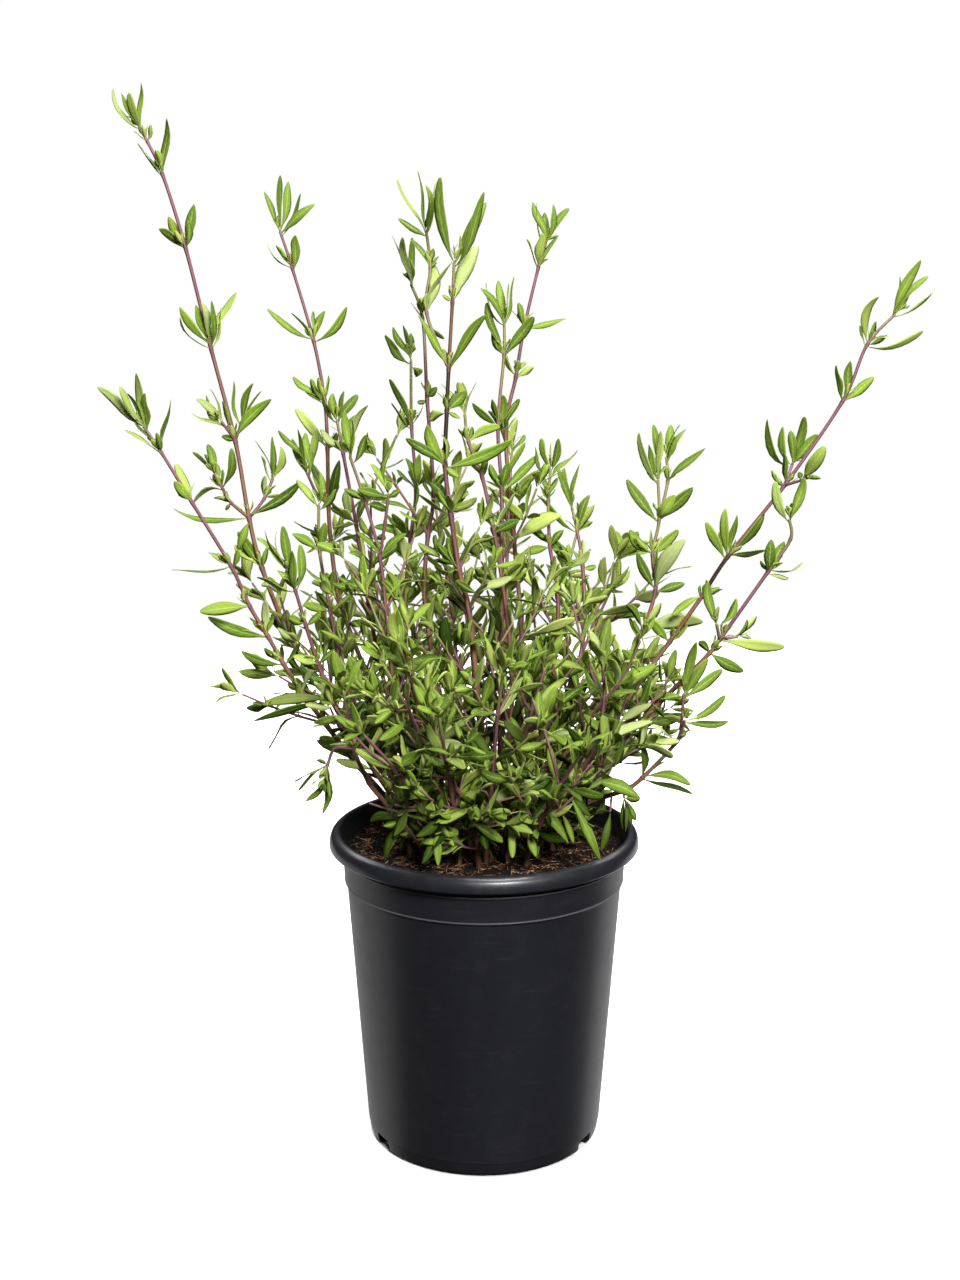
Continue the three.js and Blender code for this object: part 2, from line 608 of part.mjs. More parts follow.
function woodSolid(points, widthStart, widthEnd) {
  const rings = points.map((point, i) => {
    const { side, back } = frameAt(points, i);
    const half = (widthStart + (widthEnd - widthStart) * i / (points.length - 1)) * Math.SQRT1_2;
    return [[1, 0], [0, 1], [-1, 0], [0, -1]].map(
      ([a, b]) => point.clone().addScaledVector(side, a * half).addScaledVector(back, b * half));
  });
  return solidOf(ringSolid(rings));
}

// Every shoot of a stem, with the leaves that each knot bears
function growStem(stem, index) {
  const [x, y] = stem.foot;
  const foot = [vec(x, y, SOIL_LEVEL - STEM_SINK), vec(x, y, SOIL_LEVEL + STEM_RISE)];
  const place = flatPlace(foot[1]);
  const woods = [];
  const leaves = [];
  const grow = (laid, widthStart, widthEnd, seed) => {
    woods.push(woodSolid(laid.points, widthStart, widthEnd));
    laid.knots.forEach((knot, k) => {
      const point = laid.points[knot.at];
      const frame = frameAt(laid.points, knot.at);
      const isTip = k === laid.knots.length - 1;
      const knotSeed = seed * 1000 + k * 40;
      const made = Array.isArray(knot.leaves)
        ? givenLeaves(knot.leaves, knot, frame, point, isTip, knotSeed)
        : knot.leaves > 0 ? ruleLeaves(knot.leaves, frame, point, isTip, knotSeed + k) : [];
      leaves.push(...made);
      knot.shoots.forEach((shoot, s) => {
        const end = knot.depth + shoot.away;
        const side = layShoot(shoot.route, [point], [knot.across, knot.up], knot.depth, end);
        grow(side, SHOOT_WIDTH, TIP_WIDTH, seed + 100 * (s + 1) + k);
      });
    });
  };
  grow(layShoot(stem.route, foot, place, y, stem.away), stem.girth ?? FOOT_WIDTH, TIP_WIDTH, index + 1);
  return { name: stem.name, foot: stem.foot, width: stem.girth ?? FOOT_WIDTH, woods, leaves };
}

function boxesMeet(a, b, room) {
  return [0, 1, 2].every((i) => a.min[i] - room < b.max[i] && b.min[i] - room < a.max[i]);
}

// The mesh of a solid, its corners set on a fine grid so that no two lie closer than that
function meshNode(name, solid, material) {
  const mesh = solid.getMesh();
  const places = new Map();
  const corners = [];
  const corner = Array.from({ length: mesh.numVert }, (_, i) => {
    const first = mesh.numProp * i;
    const place = [0, 1, 2].map((c) => Math.round(mesh.vertProperties[first + c] / GRID));
    const key = place.join();
    if (!places.has(key)) {
      places.set(key, corners.length);
      corners.push(vec(...place).multiplyScalar(GRID));
    }
    return places.get(key);
  });
  const faces = [];
  for (let t = 0; t < mesh.triVerts.length; t += 3) {
    const face = [0, 1, 2].map((k) => corner[mesh.triVerts[t + k]]);
    if (new Set(face).size === 3) faces.push(face);
  }
  const geometry = geometryOf(corners, faces);
  geometry.computeVertexNormals();
  const node = new THREE.Mesh(geometry, material);
  node.name = name;
  return node;
}

// The turned wall, the rolled lip with its undercut, and the flat floor
function potSolid() {
  const lipBottom = POT_HEIGHT - LIP_HEIGHT;
  const neck = STEP_RADIUS + 2.4;
  const profile = [
    [0, 0], [BASE_RADIUS - 4, 0], [BASE_RADIUS - 1, 1.2], [BASE_RADIUS, 4], [STEP_RADIUS, STEP_HEIGHT - 1],
    [STEP_RADIUS + 1.2, STEP_HEIGHT + 0.4], [neck, lipBottom + 0.6], [RIM_RADIUS - 1.2, lipBottom],
    [RIM_RADIUS, lipBottom + 3], [RIM_RADIUS - 0.2, POT_HEIGHT - 3], [RIM_RADIUS - 1.8, POT_HEIGHT],
    [RIM_RADIUS - 3.4, POT_HEIGHT - 0.6], [neck - 0.4, POT_HEIGHT - 6.5], [neck - WALL, lipBottom - 1],
    [STEP_RADIUS - WALL, STEP_HEIGHT - 2], [BASE_RADIUS - WALL, FLOOR + 2],
    [BASE_RADIUS - WALL - 1.5, FLOOR], [0, FLOOR],
  ];
  const lathe = new THREE.LatheGeometry(profile.map(([r, z]) => new THREE.Vector2(r, z)), POT_SIDES);
  lathe.rotateX(Math.PI / 2);
  let pot = solidOf(lathe);
  for (const [angle, width, height] of NOTCHES) {
    const cutter = new THREE.BoxGeometry(width, 12, 2 * height);
    cutter.translate(0, -(BASE_RADIUS + 1), 0);
    cutter.rotateZ(radians(angle));
    pot = pot.subtract(solidOf(cutter));
  }
  return pot;
}

function soilHeight(x, y) {
  const r = Math.hypot(x, y);
  return SOIL_LEVEL + 1.4 * Math.sin(0.11 * x + 0.7) * Math.cos(0.13 * y - 0.4)
    + 0.9 * Math.sin(0.31 * x - 0.27 * y + 1.1) + 2 * Math.exp(-((r / 34) ** 2)) - 1;
}

function potInside(z) {
  const low = BASE_RADIUS - WALL;
  const high = STEP_RADIUS - WALL;
  if (z <= STEP_HEIGHT - 2) return low + (high - low) * (z - FLOOR - 2) / (STEP_HEIGHT - FLOOR - 4);
  const neck = STEP_RADIUS + 2.4 - WALL;
  return high + (neck - high) * (z - STEP_HEIGHT + 2) / (POT_HEIGHT - LIP_HEIGHT - 1 - STEP_HEIGHT + 2);
}

// Soil: it fills the pot, its top is uneven by a formula, and each stem stands in a plain square hole
function soilSolid(stems) {
  const corners = [];
  const faces = [];
  const ringAt = (radius, height) => {
    const first = corners.length;
    for (let i = 0; i < SOIL_SIDES; i += 1) {
      const angle = 2 * Math.PI * i / SOIL_SIDES;
      const x = radius * Math.cos(angle);
      const y = radius * Math.sin(angle);
      corners.push(vec(x, y, height(x, y)));
    }
    return first;
  };
  const radiusAt = (z) => (potInside(z) - 0.65) * Math.cos(Math.PI / POT_SIDES);
  const topRadius = radiusAt(SOIL_LEVEL);
  const shoulder = STEP_HEIGHT - 4;
  corners.push(vec(0, 0, FLOOR + CLEAR));
  const firsts = [
    ringAt(radiusAt(FLOOR) - 2, () => FLOOR + CLEAR),
    ringAt(radiusAt(shoulder), () => shoulder),
  ];
  for (let r = SOIL_RINGS; r >= 1; r -= 1) firsts.push(ringAt(topRadius * r / SOIL_RINGS, soilHeight));
  corners.push(vec(0, 0, soilHeight(0, 0)));
  for (let i = 0; i < SOIL_SIDES; i += 1) {
    const j = (i + 1) % SOIL_SIDES;
    faces.push([0, firsts[0] + j, firsts[0] + i]);
    for (let r = 1; r < firsts.length; r += 1) {
      faces.push([firsts[r - 1] + i, firsts[r - 1] + j, firsts[r] + j]);
      faces.push([firsts[r - 1] + i, firsts[r] + j, firsts[r] + i]);
    }
    faces.push([firsts.at(-1) + i, firsts.at(-1) + j, corners.length - 1]);
  }
  let soil = solidOf(geometryOf(corners, faces));
  for (const stem of stems) {
    const hole = new THREE.BoxGeometry(stem.width + 2 * CLEAR, stem.width + 2 * CLEAR, 2 * STEM_SINK + 1);
    hole.rotateZ(Math.PI / 4);
    hole.translate(stem.foot[0], stem.foot[1], SOIL_LEVEL);
    soil = soil.subtract(solidOf(hole));
  }
  return soil;
}

const bushStems = BUSH.map(([x, y, across, up, away], i) => ({
  name: `stem_bush_${String(i + 1).padStart(2, '0')}`,
  foot: [x, y],
  away,
  route: bushRoute(across, up, [x, y]),
}));
const stems = [...STEMS, ...bushStems].map(growStem);
const pot = potSolid();
const soil = soilSolid(stems);

// Each leaf takes the first of its turns that is clear of the pot, the soil and every other stem.
// One that crosses a neighbour every way is left out, because no real leaf grows through another.
const placed = [pot, soil].map((solid) => ({ owner: -1, solid, box: solid.boundingBox() }));
stems.forEach((stem, owner) => {
  for (const wood of stem.woods) placed.push({ owner, solid: wood, box: wood.boundingBox() });
});
stems.forEach((stem, owner) => {
  stem.blades = [];
  for (const leaf of stem.leaves) {
    for (const turn of TURNS) {
      const blade = bladeSolid(turned(leaf, turn));
      const box = blade.boundingBox();
      const blocked = placed.some((other) => other.owner !== owner && boxesMeet(box, other.box, CLEAR)
        && blade.minGap(other.solid, 1) < CLEAR);
      const tangled = !blocked && stem.blades.some((other) => boxesMeet(box, other.box, 0)
        && blade.intersect(other.solid).volume() > 1.5);
      if (!blocked && !tangled) {
        stem.blades.push({ owner, solid: blade, box });
        placed.push(stem.blades.at(-1));
        break;
      }
    }
  }
});

const plant = new THREE.Group();
plant.add(meshNode('pot', pot, black));
plant.add(meshNode('soil', soil, brown));
for (const stem of stems) {
  const fused = wasm.Manifold.union([...stem.woods, ...stem.blades.map((blade) => blade.solid)]);
  const whole = fused.decompose().sort((a, b) => b.volume() - a.volume())[0];
  plant.add(meshNode(stem.name, whole.simplify(0.01), green));
}

export default plant;
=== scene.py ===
"""The looks of a potted cleveland sage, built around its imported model.

Plant places are worked out in millimetres and turned into metres as each mesh is made.
"""
import math

import bmesh
import bpy
from mathutils import Matrix, Vector, kdtree, noise


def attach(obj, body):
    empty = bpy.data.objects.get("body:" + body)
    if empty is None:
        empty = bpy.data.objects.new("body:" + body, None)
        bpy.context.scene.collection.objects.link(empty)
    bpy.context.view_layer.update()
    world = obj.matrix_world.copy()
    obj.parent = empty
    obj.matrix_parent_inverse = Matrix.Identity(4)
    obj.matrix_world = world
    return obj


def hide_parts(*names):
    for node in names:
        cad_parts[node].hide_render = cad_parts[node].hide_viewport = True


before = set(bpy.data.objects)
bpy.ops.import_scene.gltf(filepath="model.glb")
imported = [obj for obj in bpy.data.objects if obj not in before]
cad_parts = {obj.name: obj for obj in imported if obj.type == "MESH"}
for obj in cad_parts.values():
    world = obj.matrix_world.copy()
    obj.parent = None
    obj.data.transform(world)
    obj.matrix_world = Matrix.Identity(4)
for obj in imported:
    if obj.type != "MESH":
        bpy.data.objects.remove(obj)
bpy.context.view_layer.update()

MM = 0.001
ANY_TURN = 6.3  # the range of a free turn, in radians

# Pot and soil
RIM_RADIUS = 82.5
POT_HEIGHT = 172
BASE_RADIUS = 63.2
STEP_HEIGHT = 144
STEP_RADIUS = 73.4
LIP_HEIGHT = 10.8
NECK_RADIUS = STEP_RADIUS + 2.4
WALL = 1.6
FLOOR = 2.5
SOIL_LEVEL = 160
# Notches in the foot: how far round from the front, in degrees, width and height
NOTCHES = [
    (-59, 12, 7.8), (59, 12, 7.8), (-121, 12, 7), (121, 12, 7), (-17, 5, 1.6), (163, 5, 1.6),
]
NOTCH_DEPTH = 12
NOTCH_ROUNDING = 0.8

# Stems, as in the part
STEM_SINK = 15
STEM_RISE = 4
FOOT_WIDTH = 2.5
TIP_WIDTH = 1.1
SHOOT_WIDTH = 1.3
KNOT_STEP = 27
BUSH_PAIR = 23
BUSH_TIP = 18
EVEN_LEAN, LATE_LEAN = 0.62, 0.38
EARLY_RISE, LATE_LOSS = 1.12, 0.12

# Leaves, as in the part
WIDEST_AT = 0.45
SLENDER = 0.24
LEAST_WIDTH = 0.7
MOST_WIDTH = 5.2
ROOT_STEP = 1.3
ROOT_ASIDE = 0.12
LEAST_LEAF = 67
NARROWEST_SEEN = 2.5
PAIR_OPEN = 47
TIP_OPEN = (33, 13)
OPEN_SPREAD = 22
PAIR_TURN = 45
PAIR_SWING = 0.7
LEAF_SWING = 0.4
LEAST_REACH, REACH_SPREAD = 0.86, 0.28
RULE_BOW = 0.07
GIVEN_BOW = 0.06
DEPTH_SPREAD = 0.8
EYE = Vector((-2, -900, 465))
VIEW = Vector((0, -1, 0.3)).normalized()
TURNS = [
    (0, 1), (0.35, 1), (-0.35, 1), (0.75, 0.95), (-0.75, 0.95), (0.2, 0.72), (-0.4, 0.72), (0.6, 0.6),
]
LEAST_THINNING = 0.8
TIP_FOUND = 0.04

# Material places on a leafy piece
BARK, UPPER, LOWER = 0, 1, 2

# Each leafy stem: its name, its foot in the soil, how far behind the middle its tip stands, its
# width and its route. A knot is (across, up, leaves, side shoots), read in the upright plane
# through the pot's middle. The leaves are a number, the length of an opposite pair there, or a
# list of leaves, each (tip across, tip up, width seen, sideways bow). A side shoot is how far
# behind its start it ends, and its own route. The last knot is the tip.
STEMS = [
    ("stem_west_tall", (-27, 8), 35, FOOT_WIDTH, [
        (-40, 186), (-60, 213, 24), (-80, 240, 24), (-101, 274, 26),
        (-115, 311, [(-129, 323, 3), (-127, 330, 6), (-119, 321, 4), (-112, 322, 3.5)]),
        (-121, 337, [(-160, 342, 4.5, -3), (-94, 356, 5.5, 2), (-127, 321, 5)], [
            (-6, [
                (-130, 345, [(-133, 341, 2.5)]),
                (-134, 352, [(-149, 345, 1.5, 4), (-129, 373, 2, 2)]),
                (-138, 360, [(-149, 371, 2), (-143, 370, 3), (-141, 375, 4), (-137, 366, 3)]),
            ]),
            (8, [
                (-113, 347, [(-112, 359, 3)]),
                (-108, 358, [(-117, 377, 2.5), (-108, 379, 4), (-104, 374, 2), (-114, 369, 3)]),
            ]),
        ]),
        (-127, 377, [(-108, 398, 6, -2), (-134, 379, 4)], [
            (-5, [
                (-134, 387, [
                    (-149, 391, 1.5, -2), (-146, 398, 3), (-141, 400, 3), (-139, 403, 3), (-133, 397, 3)]),
            ]),
            (5, [
                (-122, 389, [(-127, 407, 3), (-117, 406, 3), (-113, 402, 2), (-118, 395, 3)]),
            ]),
        ]),
        (-138, 424, [
            (-153, 444, 3.5), (-153, 439, 2.5, -2), (-145, 445, 2.5), (-142, 446, 3.5), (-137, 447, 3),
            (-132, 444, 3.5), (-124, 451, 4.5, -2)]),
        (-149, 473, [(-162, 482, 3.5), (-157, 488, 3), (-147, 486, 3.5), (-144, 494, 5.5)]),
        (-159, 508, [(-171, 523, 2, -2), (-167, 519, 3), (-162, 520, 3), (-156, 535, 5)]),
        (-166, 524, [(-164, 532, 2)]),
        (-170, 531, [(-182, 549, 2, -2), (-178, 547, 4), (-174, 547, 3), (-168, 552, 4.5)]),
    ]),
    ("stem_west_low", (-40, -7), -30, FOOT_WIDTH, [
        (-50, 184), (-68, 206, 24), (-84, 228, 26),
        (-96, 245, [(-111, 244, 1.5), (-106, 256, 3), (-88, 262, 4)]),
        (-105, 260, [(-127, 267, 4.5, -2), (-115, 269, 3.5), (-96, 272, 4)]),
        (-113, 275, [(-144, 285, 6.5, -2), (-127, 278, 2), (-122, 285, 3), (-114, 294, 5), (-109, 288, 3)]),
        (-122, 291, [(-148, 288, 7)]),
        (-131, 312, [(-162, 310, 3, -2), (-143, 319, 2.5), (-138, 319, 3), (-127, 321, 3)]),
        (-150, 345, [(-158, 365, 4.5), (-159, 356, 5)]),
        (-165, 371, [(-183, 382, 2.5), (-178, 386, 2.5), (-167, 381, 2.5), (-159, 398, 2, -2)]),
        (-174, 385, [(-196, 404, 4), (-185, 404, 3), (-181, 401, 3), (-176, 411, 5), (-172, 401, 3)]),
    ]),
    ("stem_north_west", (-14, 26), 62, FOOT_WIDTH, [
        (-28, 188), (-46, 222, 24), (-62, 256, 24), (-75, 294, 26), (-79, 324, 26),
        (-80, 344, [(-88, 359, 4), (-89, 366, 3), (-74, 367, 5), (-76, 358, 4)], [
            (-8, [
                (-86, 350),
                (-91, 361, [
                    (-105, 382, 2.5), (-98, 378, 3), (-95, 383, 4), (-91, 381, 2.5), (-85, 383, 3.5)]),
            ]),
        ]),
        (-80, 373, [(-96, 393, 5.5), (-75, 381, 4), (-84, 383, 3)]),
        (-81, 397, [(-97, 409, 4), (-91, 402, 3), (-88, 408, 3), (-84, 409, 3), (-79, 410, 3)]),
        (-86, 427, [
            (-109, 443, 4.5, -2), (-97, 441, 3), (-86, 442, 3.5), (-80, 442, 2.5), (-69, 444, 4.5, 2)]),
        (-96, 463, [(-108, 475, 3), (-104, 474, 3), (-94, 479, 4)]),
        (-102, 482, [
            (-109, 500, 1.5, -2), (-101, 508, 2.5), (-97, 505, 3.5), (-91, 499, 1.5, 3), (-84, 494, 5.5)]),
    ]),
    ("stem_west_inner", (-22, 17), 15, FOOT_WIDTH, [
        (-34, 190), (-46, 225, 24), (-55, 262, 24), (-61, 298, 24), (-66, 334, 24),
        (-72, 370, [(-62, 391, 1.5, -2), (-59, 395, 1.5, -2), (-68, 385, 3), (-83, 383, 4)]),
        (-75, 388, [(-77, 401, 5), (-71, 402, 4), (-64, 400, 5), (-82, 401, 3)]),
    ]),
    ("stem_west_middle", (-20, 0), -15, FOOT_WIDTH, [
        (-30, 186), (-40, 212, 22), (-47, 238, 24), (-49, 264, 24), (-51, 288, 24),
        (-54, 317, [(-66, 330, 4), (-40, 329, 4)], [
            (-10, [
                (-51, 335),
                (-49, 350, [
                    (-58, 365, 3.5), (-60, 360, 3), (-65, 352, 5), (-42, 383, 4, -3), (-43, 352, 4)]),
            ]),
        ]),
        (-61, 345, [(-72, 352, 4), (-50, 341, 5)]),
        (-69, 370, [(-78, 384, 3), (-67, 388, 3), (-60, 380, 3), (-71, 392, 3)]),
    ]),
    ("stem_dark_main", (-2, -9), -14, 3, [
        (2, 186), (-1, 215, 24), (-4, 250, 22), (-8, 289, 22), (-13, 310, 20), (-17, 338, 22),
        (-20, 364, [(14, 377, 6.5, 2), (-29, 385, 6, -2), (-40, 378, 5), (-13, 358, 4), (-22, 380, 4)]),
        (-19, 392, [(-9, 402, 6), (-25, 402, 2.5), (-28, 387, 5, 2), (-12, 388, 3)]),
        (-18, 413, [(-33, 440, 4.5), (1, 440, 4, -2), (-13, 423, 2.5)], [
            (8, [
                (-29, 441, [(-25, 465, 6, 2), (-16, 466, 1.5, -3)]),
                (-27, 463, [(-37, 477, 4), (-24, 466, 2)]),
                (-29, 482, [
                    (-43, 506, 2), (-33, 510, 3), (-29, 503, 3), (-24, 505, 3), (-43, 487, 4),
                    (-26, 490, 2)]),
            ]),
        ]),
        (-16, 446, [(-3, 474, 8, -1), (-21, 450, 2)]),
        (-15, 467, [(-22, 507, 5.5, -3), (1, 495, 6), (0, 500, 4), (-12, 479, 2)]),
    ]),
    ("stem_left_outer", (-15, 8), 38, FOOT_WIDTH, [
        (-24, 190), (-34, 225, 22), (-40, 258, 22), (-41, 292, 22), (-38, 326, 22),
        (-35, 352, [(-40, 368, 4), (-33, 370, 4), (-45, 362, 3), (-27, 365, 3)]),
        (-37, 384, [(-48, 408, 4), (-47, 396, 3.5), (-44, 401, 3.5), (-31, 395, 3)]),
        (-37, 419, [(-50, 430, 3.5), (-46, 434, 4), (-41, 435, 3), (-37, 431, 3), (-34, 409, 5, -2)]),
    ]),
    ("stem_left_second", (-9, 0), 18, FOOT_WIDTH, [
        (-16, 190), (-22, 222, 22), (-27, 262, 22), (-31, 297, 22), (-29, 328, 22),
        (-26, 350, [(-31, 366, 4), (-20, 360, 4)]),
        (-29, 398, [(-24, 404, 4), (-34, 396, 3)]),
        (-31, 438, [(-20, 428, 3)]),
        (-37, 456, [(-46, 479, 3, -1), (-41, 478, 3), (-36, 478, 4), (-38, 468, 3)]),
    ]),
    ("stem_right_second", (5, 17), 45, FOOT_WIDTH, [
        (8, 195), (10, 235, 22), (9, 275, 22), (9, 315, 22),
        (9, 351, [(12, 366, 5), (21, 375, 3), (28, 370, 5), (3, 365, 3), (20, 336, 4)]),
        (7, 384, [(-6, 396, 4), (4, 398, 3), (16, 396, 3)]),
        (10, 420, [(1, 446, 4, -1), (25, 439, 6), (4, 432, 3)]),
        (10, 437, [(-2, 453, 4), (1, 456, 3), (7, 457, 4.5), (12, 456, 2.5), (15, 459, 3)]),
    ]),
    ("stem_north", (12, 26), 85, FOOT_WIDTH, [
        (16, 198), (20, 240, 22), (19, 285, 22), (15, 330, 22),
        (11, 381, [(2, 392, 4), (18, 398, 4), (9, 400, 3)]),
        (16, 409, [(25, 414, 4), (10, 421, 3)]),
        (20, 433, [(17, 446, 3.5), (13, 443, 2.5), (41, 438, 5, 1)]),
        (27, 463, [(21, 477, 2.5), (29, 480, 3.5), (37, 479, 4)]),
        (31, 476, [(24, 495, 2), (26, 495, 3), (34, 494, 3), (30, 490, 2.5), (42, 492, 3.5)]),
    ]),
    ("stem_front_slender", (-3, 8), 6, FOOT_WIDTH, [
        (8, 192), (14, 228, 20), (14, 264, 20), (10, 300, 20),
        (5, 330, [(-3, 345, 4), (18, 336, 5), (16, 350, 2)]),
        (-1, 358, [(2, 368, 5), (-8, 367, 3)]),
        (-8, 376, [(8, 384, 5, -2), (-6, 384, 3)]),
        (-10, 391, 18),
    ]),
    ("stem_right_inner", (19, 17), 38, FOOT_WIDTH, [
        (26, 196), (34, 236, 22), (38, 275, 22),
        (38, 300, [(50, 303, 4), (32, 313, 4), (45, 313, 3)]),
        (34, 322, [(22, 333, 3.5), (20, 319, 5), (41, 331, 4), (39, 320, 3)]),
        (33, 346, [(27, 362, 4), (38, 358, 3)]),
        (34, 363, [(29, 378, 3), (26, 374, 1.5), (34, 376, 3), (38, 378, 3), (48, 372, 4)]),
    ]),
    ("stem_right_thin", (26, 26), 66, FOOT_WIDTH, [
        (34, 198), (44, 236, 20), (52, 276, 20),
        (51, 312, [(51, 326, 4), (58, 312, 4), (44, 315, 3)]),
        (48, 330, [(27, 349, 3.5, 1), (54, 349, 4)]),
        (45, 343, [(37, 363, 3), (41, 363, 3.5), (45, 356, 3), (49, 365, 3)]),
    ]),
    ("stem_east_upright", (14, 0), 12, FOOT_WIDTH, [
        (26, 184), (40, 206, 24), (52, 224, 24),
        (65, 244, [(88, 257, 6, 2), (54, 262, 4), (72, 262, 4)]),
        (74, 260, [(64, 279, 4), (84, 268, 5)]),
        (83, 279, [(114, 283, 9, -2), (92, 293, 4), (74, 292, 4)]),
        (89, 300, [(79, 319, 5, -1), (104, 326, 9, -3), (91, 323, 4), (104, 303, 5)]),
        (87, 318, [(75, 331, 6, -2), (78, 328, 3), (86, 332, 4), (100, 331, 5.5)]),
        (90, 336, [(73, 357, 6, -1), (98, 349, 6), (107, 353, 7)], [
            (8, [
                (94, 356, [(113, 373, 4.5, 1), (93, 364, 3)]),
                (93, 369, [(95, 385, 5), (100, 385, 3), (103, 383, 2.5), (98, 379, 5)]),
            ]),
        ]),
        (89, 358, [(79, 381, 4, -1), (84, 375, 2.5), (86, 385, 3.5), (90, 382, 3), (83, 361, 1.5)]),
    ]),
    ("stem_east_tall", (27, 0), -8, FOOT_WIDTH, [
        (40, 186), (54, 208, 24), (70, 232, 24),
        (85, 255, [(72, 268, 4), (96, 258, 4)]),
        (97, 272, [(86, 284, 4), (106, 281, 4)]),
        (113, 296, [(98, 286, 4.5, 1), (112, 302, 2), (124, 300, 3)]),
        (126, 317, [
            (114, 335, 4), (121, 330, 2), (124, 342, 3.5), (130, 339, 4.5), (145, 320, 2, 1), (144, 340, 4)]),
        (154, 354, [(147, 362, 2), (148, 359, 3.5), (153, 371, 2.5)], [
            (10, [
                (158, 366, [
                    (144, 388, 3, -3), (152, 384, 3), (156, 382, 2.5), (163, 389, 4.5), (170, 380, 6)]),
            ]),
            (-10, [
                (164, 357, [(174, 374, 7), (161, 361, 3), (170, 359, 2)]),
            ]),
        ]),
        (182, 397, [(178, 415, 3.5), (185, 417, 4.5), (197, 409, 5)]),
        (193, 425, [
            (189, 435, 2.5), (198, 449, 4.5, -4), (197, 437, 3), (203, 430, 3), (221, 432, 1.5, 2)]),
        (207, 441, [(208, 459, 2), (218, 467, 5, -1), (222, 459, 3), (226, 453, 2, 1), (213, 455, 3)]),
    ]),
    ("stem_east_low", (36, -9), -48, FOOT_WIDTH, [
        (46, 182), (62, 204, 24), (82, 228, 24),
        (101, 248, [(93, 262, 4), (116, 249, 4)]),
        (118, 266, [(112, 272, 4), (136, 256, 6, 1)]),
        (123, 273, [(157, 269, 6, 1)], [
            (-6, [
                (121, 282, [(116, 304, 5, -2), (122, 291, 3), (131, 295, 2.5, 2)]),
            ]),
            (6, [
                (133, 275, [(142, 286, 3.5), (137, 284, 2.5)]),
            ]),
        ]),
        (147, 309, [(148, 326, 6), (155, 325, 5), (165, 314, 1.5, 1), (158, 305, 1.5), (143, 315, 1.5)]),
        (158, 326),
        (157, 337, [(164, 358, 5, 1), (149, 356, 4, -2), (158, 345, 2.5)]),
    ]),
    ("stem_east_arch", (28, -18), -52, FOOT_WIDTH, [
        (50, 181, 20),
        (74, 191, [(62, 200, 5), (80, 188, 3)]),
        (84, 198, [(110, 194, 4, -1), (111, 189, 3), (84, 216, 3), (96, 207, 3)]),
        (102, 218, [(86, 222, 5, -1), (88, 227, 3)], [
            (-12, [
                (106, 230, [(127, 243, 3, 1), (129, 229, 4, 3), (124, 238, 1.5)]),
            ]),
        ]),
        (104, 226),
        (105, 245, [(106, 258, 5), (111, 272, 5, -1), (117, 263, 5), (125, 257, 5.5), (94, 241, 4)]),
    ]),
    ("stem_front_right", (12, -27), -66, FOOT_WIDTH, [
        (30, 178, 20), (45, 194, 24),
        (58, 213, [(89, 229, 5, -3), (44, 226, 4), (66, 228, 4)]),
        (63, 240, 22), (62, 258, 22),
    ]),
    ("stem_east_spray", (19, -8), -32, FOOT_WIDTH, [
        (34, 182), (52, 203, 22), (67, 220, 22),
        (77, 230, [(86, 222, 3), (66, 240, 4)]),
        (89, 240, [(95, 231, 2.5), (104, 241, 3, -1), (82, 250, 3)]),
        (97, 252, [(92, 263, 2), (94, 262, 2), (100, 268, 5), (104, 258, 3), (108, 252, 3)]),
    ]),
    ("stem_west_spray", (-31, -13), -46, FOOT_WIDTH, [
        (-44, 180), (-58, 202, 22), (-71, 223, 22),
        (-80, 240, [(-117, 238, 6, 2), (-122, 229, 3.5, 4), (-70, 250, 4)]),
        (-87, 260, [(-100, 264, 5), (-78, 268, 4)]),
        (-93, 281, [(-102, 285, 5), (-85, 288, 4)]),
        (-98, 299, [(-99, 320, 5), (-96, 322, 3), (-107, 310, 4), (-118, 306, 1.5)]),
        (-102, 311, [(-104, 333, 5), (-107, 330, 2.5), (-117, 327, 3), (-113, 331, 3)]),
    ]),
    ("stem_west_second", (-31, 0), -6, FOOT_WIDTH, [
        (-42, 186), (-56, 212, 22), (-68, 236, 22), (-75, 260, 24),
        (-80, 288, [(-94, 292, 5), (-68, 298, 4), (-88, 299, 4)]),
        (-85, 320, [(-99, 329, 5, 1), (-82, 335, 5), (-76, 325, 4)]),
        (-85, 345, [(-96, 357, 3), (-84, 361, 4), (-76, 352, 4)]),
    ]),
    ("stem_west_rim", (-39, -19), -74, FOOT_WIDTH, [
        (-50, 180),
        (-61, 195, [(-79, 200, 3.5, -1), (-52, 200, 2)]),
        (-69, 214, [(-82, 216, 4), (-60, 222, 4)], [
            (-14, [
                (-79, 214),
                (-83, 205, [(-89, 208, 2.5)]),
                (-85, 199, [
                    (-101, 196, 2.5), (-99, 191, 2.5), (-95, 185, 2.5), (-86, 178, 2.5), (-82, 187, 3)]),
            ]),
        ]),
        (-72, 232, [(-90, 228, 4), (-63, 240, 4)]),
        (-74, 246, 20),
    ]),
    ("stem_front_left", (-7, -18), -62, FOOT_WIDTH, [
        (-14, 184, 20), (-24, 206, 22), (-31, 228, 22), (-38, 250, 22), (-44, 268, 20),
    ]),
    ("stem_front_low", (-3, -36), -78, FOOT_WIDTH, [
        (-8, 180, 20), (-18, 197, 22), (-24, 213, 20), (-27, 228, 20),
    ]),
]

